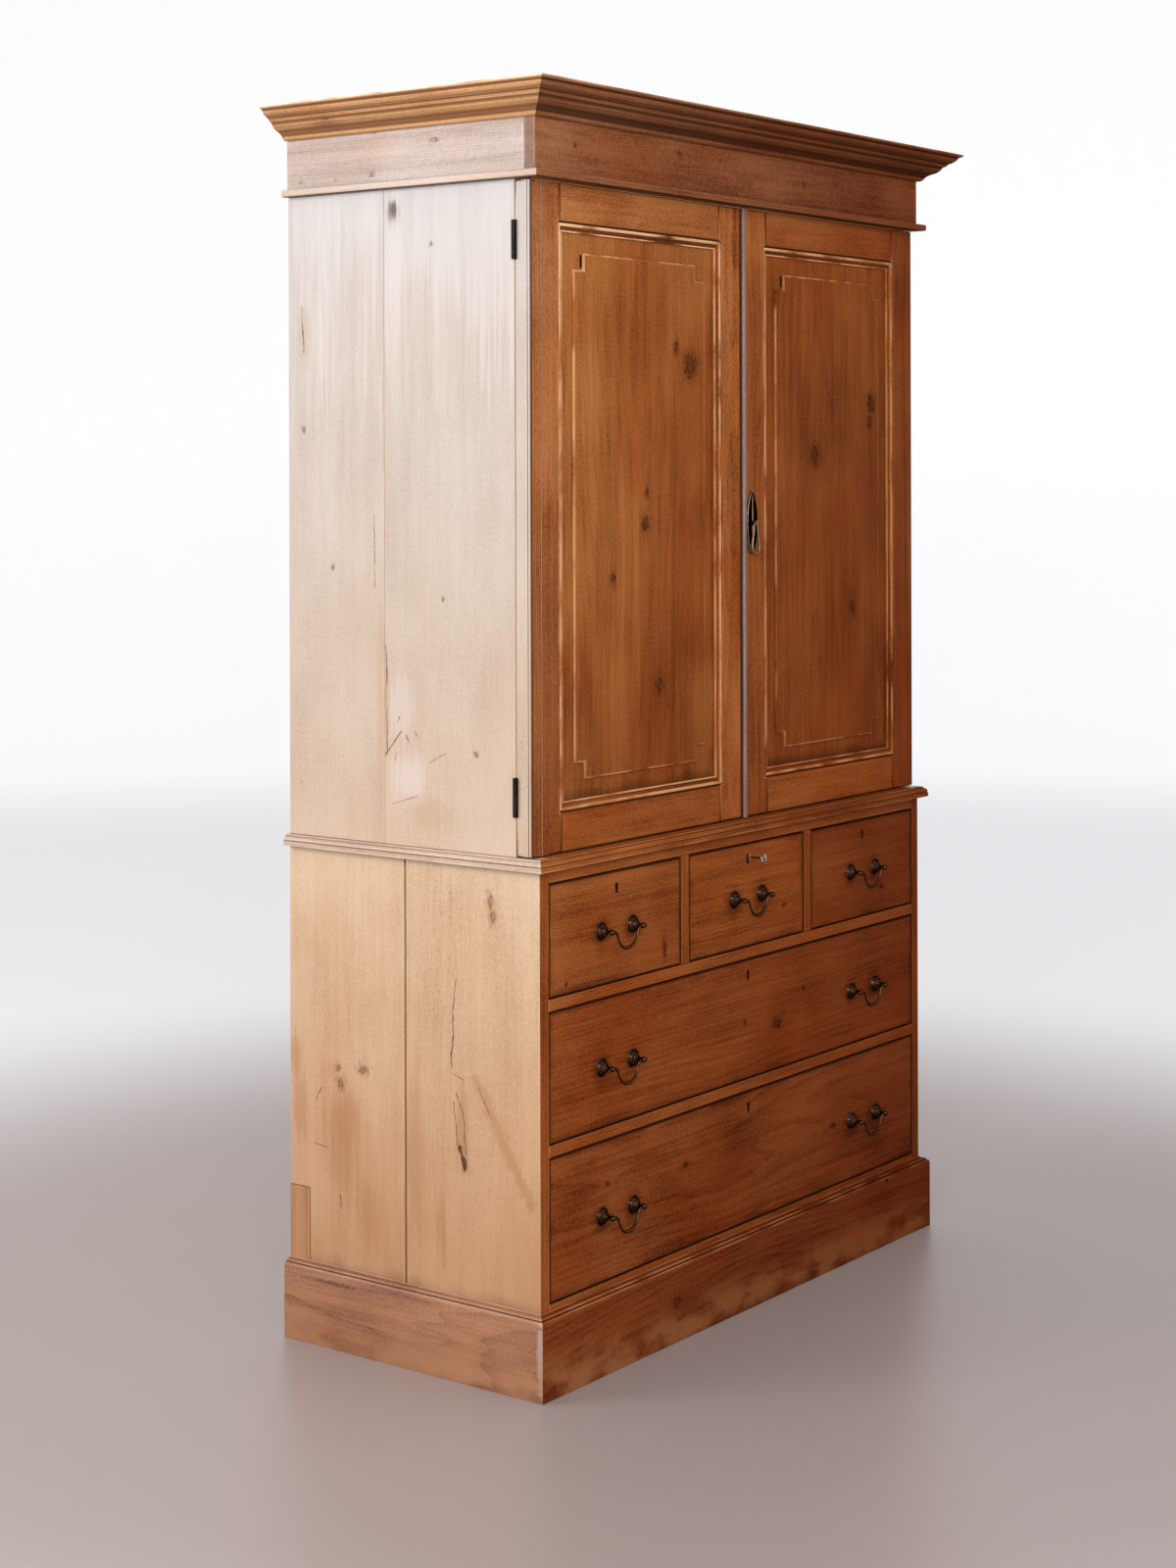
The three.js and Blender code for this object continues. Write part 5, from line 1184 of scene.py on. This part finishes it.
for side, (hang, meet) in door_lines.items():
    for part, (edge, joint, mould, _) in (("hanging", hang), ("meeting", meet)):
        outline = [(edge, door_low), (joint, door_low), (joint, mould_z[0]), (mould, mould_z[0]),
                   (mould, mould_z[1]), (joint, mould_z[1]), (joint, door_high), (edge, door_high)]
        bm = bmesh.new()
        slab(bm, outline, door_face, door_back)
        # The stile's ends, and the meeting stile's edge at the gap, are marked dark: painted shade
        # in the gaps, and dirt.
        dirt_and_shade_marked(bm, lambda co: co.z < door_low + joint_dirt_and_shade or co.z > door_high - joint_dirt_and_shade
               or part == "meeting" and abs(co.x - edge) < joint_dirt_and_shade)
        if part == "hanging":
            sign = math.copysign(1, edge)
            cutters = bmesh.new()
            block(cutters, (sign * face_quirk[0], door_face - just_past, door_low - past),
                  (sign * face_quirk[1], door_face + quirk_depth, door_high + past))
            block(cutters, (sign * edge_quirk[0], edge_quirk_y[0], door_low - past),
                  (sign * edge_quirk[1], edge_quirk_y[1], door_high + past))
            for height in hinge_heights:
                block(cutters, (sign * hinge_in, door_back - hinge_depth, height - hinge_half),
                      (sign * hinge_out, door_back + just_past, height + hinge_half))
            bm = carved(bm, cutters)
        piece = made(f"{side}_door_{part}_stile", bm, f"door_{side}",
                     [door_finishes[side, part], door_edge_pine],
                     [f"{part}_stile_{side}"])
        if part == "hanging":
            painted(piece, (sign, 0, 0), 1)
    for part, start, end in (("top", mould_z[1], door_high), ("bottom", door_low, mould_z[0])):
        ends = sorted((hang[1], meet[1]))
        bm = bmesh.new()
        board(bm, (ends[0] + hairline, door_face, start), (ends[1] - hairline, door_back, end),
              soften=0.001, margin=0.002)
        # The rail's ends are dark joints with the stiles, and its outer edge at the gap is marked
        # dark as painted shade.
        dirt_and_shade_marked(bm, lambda co: not (ends[0] + 0.0014 < co.x < ends[1] - 0.0014)
               or not (door_low + joint_dirt_and_shade < co.z < door_high - joint_dirt_and_shade))
        made(f"{side}_door_{part}_rail", bm, f"door_{side}", [door_finishes[side, part]],
             [f"{part}_rail_{side}"])
    x0, x1 = sorted((hang[2], meet[2]))
    z0, z1 = mould_z
    corners = {
        "low left": lambda a, s: (x0 + a, door_face + s, z0 + a),
        "high left": lambda a, s: (x0 + a, door_face + s, z1 - a),
        "low right": lambda a, s: (x1 - a, door_face + s, z0 + a),
        "high right": lambda a, s: (x1 - a, door_face + s, z1 - a),
    }
    for part, start, end in (
        ("left", "low left", "high left"), ("right", "low right", "high right"),
        ("bottom", "low left", "low right"), ("top", "high left", "high right"),
    ):
        bm = bmesh.new()
        run(bm, door_mould, corners[start], corners[end])
        finish = pine(f"{side}_{part}_moulding_pine", "xyz" if part in ("left", "right") else "zyx",
                      toned(front_tones, *moulding_painted_light[part]), 96, **moulding_look)
        made(f"{side}_door_{part}_moulding", bm, f"door_{side}", [finish], crease=25)


# The door panels: thin boards glued edge to edge, raised in the middle to a field with rounded
# edges and a square notch in each corner. The upper left notch is gouged deeper, into a pocket
# painted near black, as old wax and painted shade. Dirt and painted shade darken the margin round
# the field and the corners.
panel_shades = {"left": (0.99, 1.03, 1.0), "right": (0.92, 0.9, 0.82)}
panel_stains = {"left": [(-0.31, 0.95, 0.5, 0.35, 0.18)],
                "right": [(0.33, 1.45, 0.3, 0.3, 0.18)]}
panel_knots = {
    "left": [(-0.1536, 1.6791, 0.014, 1.15), (-0.197, 1.7084, 0.005, 1.8),
             (-0.2911, 1.4036, 0.008, 1.2), (-0.2862, 1.4571, 0.004, 1.6),
             (-0.3848, 1.3138, 0.006, 1.2), (-0.25, 1.127, 0.0085, 1.2)],
    "right": [(0.4631, 1.6221, 0.01, 1.5), (0.4566, 1.5897, 0.007, 1.4),
              (0.2555, 1.5226, 0.012, 1.1), (0.3923, 1.2306, 0.007, 1.4)],
}
panel_face, field_rise, field_margin, notch = -0.2195, 0.004, 0.031, 0.028
pocket_width, pocket_depth = 0.0062, 0.0035
for side, seed in (("left", 91), ("right", 92)):
    hang, meet = door_lines[side]
    sight = sorted((hang[3], meet[3]))
    finish = pine(f"{side}_panel_pine", "xyz", toned(front_tones, *panel_shades[side]), seed,
                  knots=panel_knots[side], stains=panel_stains[side], pith=(sight[0] + 0.2, 0.2),
                  **{**door_look, "figure": 0.22, "depth": 1.6},
                  rim_dirt_and_shade=(sight[0] - 0.004, sight[1] - 0.002, sight_z[0] + 0.006,
                         sight_z[1] + 0.008, 0.018, 0.55))
    low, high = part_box(f"panel_{side}")
    bm, cutters = bmesh.new(), bmesh.new()
    board(bm, (low.x, panel_face, low.z), high)
    a, b = sight[0] + field_margin, sight[1] - field_margin
    c, d = sight_z[0] + field_margin, sight_z[1] - field_margin
    n = notch
    block(cutters, (a + n - pocket_width, panel_face - past, d - n + 0.004),
          (a + n - 0.0003, panel_face + pocket_depth, d - 0.003))
    bm = carved(bm, cutters)
    for face in bm.faces:
        centre = face.calc_center_median()
        in_pocket = (a + n - pocket_width - 0.0003 < centre.x < a + n and d - n < centre.z < d
                     and 0.0004 < centre.y - panel_face < pocket_depth + 0.0002)
        face.material_index = int(in_pocket)
    slab(bm, [(a + n, c), (b - n, c), (b - n, c + n), (b, c + n), (b, d - n), (b - n, d - n),
              (b - n, d), (a + n, d), (a + n, d - n), (a, d - n), (a, c + n), (a + n, c + n)],
         panel_face - field_rise, panel_face + 0.004, soften=0.0025, margin=0.002)
    made(f"{side}_door_panel", bm, f"door_{side}", [finish, gap_shade_pine],
         [f"panel_{side}"], crease=25)


# The astragal: a planted strip with two beads and a channel between them, on the right door's
# meeting stile.
strip_edge, strip_width, strip_rise = 0.0011, 0.013, 0.006
strip_face = door_face - 2 * hairline
astragal_section = [(across * strip_width, proud * strip_rise) for across, proud in (
    (0, 0.0), (0, 0.3), (0.13, 0.3), (0.15, 0.16), *rounded((0.22, 0.66), (0.37, 0.94), (0.5, 1.0),
                                                            (0.63, 0.94), (0.78, 0.66)),
    (0.85, 0.16), (0.87, 0.3), (1.0, 0.3), (1.0, 0.0))]
astragal_tones = ((0.44, 0.31, 0.27), (0.34, 0.22, 0.19), (0.24, 0.14, 0.115), (0.1, 0.05, 0.04))
bm = bmesh.new()
run(bm, astragal_section, lambda a, p: (strip_edge + a, strip_face - p, door_low),
    lambda a, p: (strip_edge + a, strip_face - p, door_high))
# The channel is marked darker, and the strip's edge against the gap dark: dirt and painted shade.
channel_middle, channel_half = strip_edge + strip_width / 2, 0.0036
channel = [vert for vert in bm.verts if abs(vert.co.x - channel_middle) < channel_half]
marked(bm, channel, -0.5)
dirt_and_shade_marked(bm, lambda co: co.x < strip_edge + hairline)
made("astragal_strip", bm, "door_right",
     [pine("astragal_pine", "xyz", astragal_tones, 95, specular=0.5, roughness=0.36, wear_and_highlight=1.0,
           worn=(0.78, 0.62, 0.57), depth=1.5)],
     ["astragal"], crease=25)


# Four butt hinges of black iron, let into the sides and the door stiles, with five knuckles on a
# pin that stands just proud of the side.
iron = metal("hinge_iron", (0.012, 0.009, 0.008), (0.045, 0.033, 0.028), 0.5, metallic=0.8,
             specular=0.3)
for part in ("fixed", "door"):
    for side in ("left", "right"):
        for end in ("top", "bottom"):
            name = f"hinge_{part}_{side}_{end}"
            body = "case" if part == "fixed" else f"door_{side}"
            made(name + "_leaf", welded(name), body, [iron], [name], crease=40)


# The pull on the right door: an almond plate of cast brass with a ridge down its middle, and a
# pear-shaped loop that hangs and swings in a small boss.
pull_brass = metal("pull_brass", (0.085, 0.042, 0.023), (0.38, 0.25, 0.155), 0.4, rim=0.5)
plate_low, plate_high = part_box("pull_plate")
pull_x = (plate_low.x + plate_high.x) / 2
pull_middle = (plate_low.z + plate_high.z) / 2
half_outline = rounded((0, 1), (0.3, 0.9), (0.66, 0.68), (0.92, 0.38), (1, 0.08), (0.98, -0.2),
                       (0.86, -0.5), (0.62, -0.78), (0.26, -0.96), (0, -1), steps=3)
almond = half_outline + [(-a, b) for a, b in half_outline[-2:0:-1]]
plate_half, plate_reach = 0.016, 0.0575
bm = bmesh.new()
layer = relief_layer(bm)
plate = bm.faces.new([
    bm.verts.new((pull_x + a * plate_half, plate_high.y, pull_middle + b * plate_reach))
    for a, b in almond
])
before = 0.0
for inset, up, relief in ((0.0, 0.0024, 0.0), (0.0005, 0.0034, 1.0), (0.001, 0.0036, 1.0),
                          (0.0022, 0.0036, 1.0), (0.0028, 0.0033, 0.6), (0.0032, 0.0024, 0.0),
                          (0.008, 0.0026, 0.0)):
    grown = bmesh.ops.extrude_face_region(bm, geom=[plate])["geom"]
    plate = next(part for part in grown if isinstance(part, bmesh.types.BMFace))
    narrower = (plate_half - inset) / (plate_half - before)
    shorter = (plate_reach - 2 * inset) / (plate_reach - 2 * before)
    for vert in plate.verts:
        vert.co.x = pull_x + (vert.co.x - pull_x) * narrower
        vert.co.z = pull_middle + (vert.co.z - pull_middle) * shorter
        vert.co.y = plate_high.y - up
        vert[layer] = relief
    before = inset
tube(bm, [(pull_x, plate_high.y - 0.0024, pull_middle + z) for z in
          (-0.051, -0.049, -0.043, -0.02, 0.02, 0.043, 0.049, 0.051)],
     [0.0006, 0.0014, 0.002, 0.0022, 0.0022, 0.002, 0.0014, 0.0006], (0, 1, 0))
drop_low, drop_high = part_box("pull_drop")
eye_y, eye_z = (drop_low.y + drop_high.y) / 2, 1.3995
boss_half, boss_reach, eye_radius = 0.003, 0.0045, 0.002
boss, eye = bmesh.new(), bmesh.new()
board(boss, (pull_x - boss_half, eye_y - boss_reach, eye_z - boss_reach),
      (pull_x + boss_half, plate_high.y - 0.0022, eye_z + boss_reach), soften=0.0012)
eye_turn = Matrix.Translation((pull_x, eye_y, eye_z)) @ Matrix.Rotation(math.pi / 2, 4, "Y")
bmesh.ops.create_cone(eye, cap_ends=True, segments=16, radius1=eye_radius, radius2=eye_radius,
                      depth=0.02, matrix=eye_turn)
boss = carved(boss, eye)
bored = bpy.data.meshes.new("boss")
boss.to_mesh(bored)
boss.free()
bm.from_mesh(bored)
bpy.data.meshes.remove(bored)
made("pull_back_plate", bm, "door_right", [pull_brass], ["pull_plate"], crease=40)

half_drop = [(0.0, 0.0), (0.0037, 0.0), (0.0058, -0.0054), (0.0061, -0.0151), (0.0092, -0.0281),
             (0.0115, -0.04), (0.009, -0.0502), (0.0041, -0.054), (0.0, -0.054)]
drop_thickness = [0.0015, 0.0015, 0.0016, 0.0019, 0.0022, 0.0024, 0.0025, 0.0024, 0.0023]
side_line = rounded(*half_drop, steps=3)
side_thickness = thickness_along(drop_thickness, steps=3)
line = side_line + [(-out, up) for out, up in side_line[-2:0:-1]]
bm = bmesh.new()
tube(bm, [(pull_x + out, eye_y, eye_z + up) for out, up in line],
     side_thickness + side_thickness[-2:0:-1], (0, 1, 0), closed=True)
made("pull_loop", bm, "drop", [pull_brass], ["pull_drop"], crease=50)
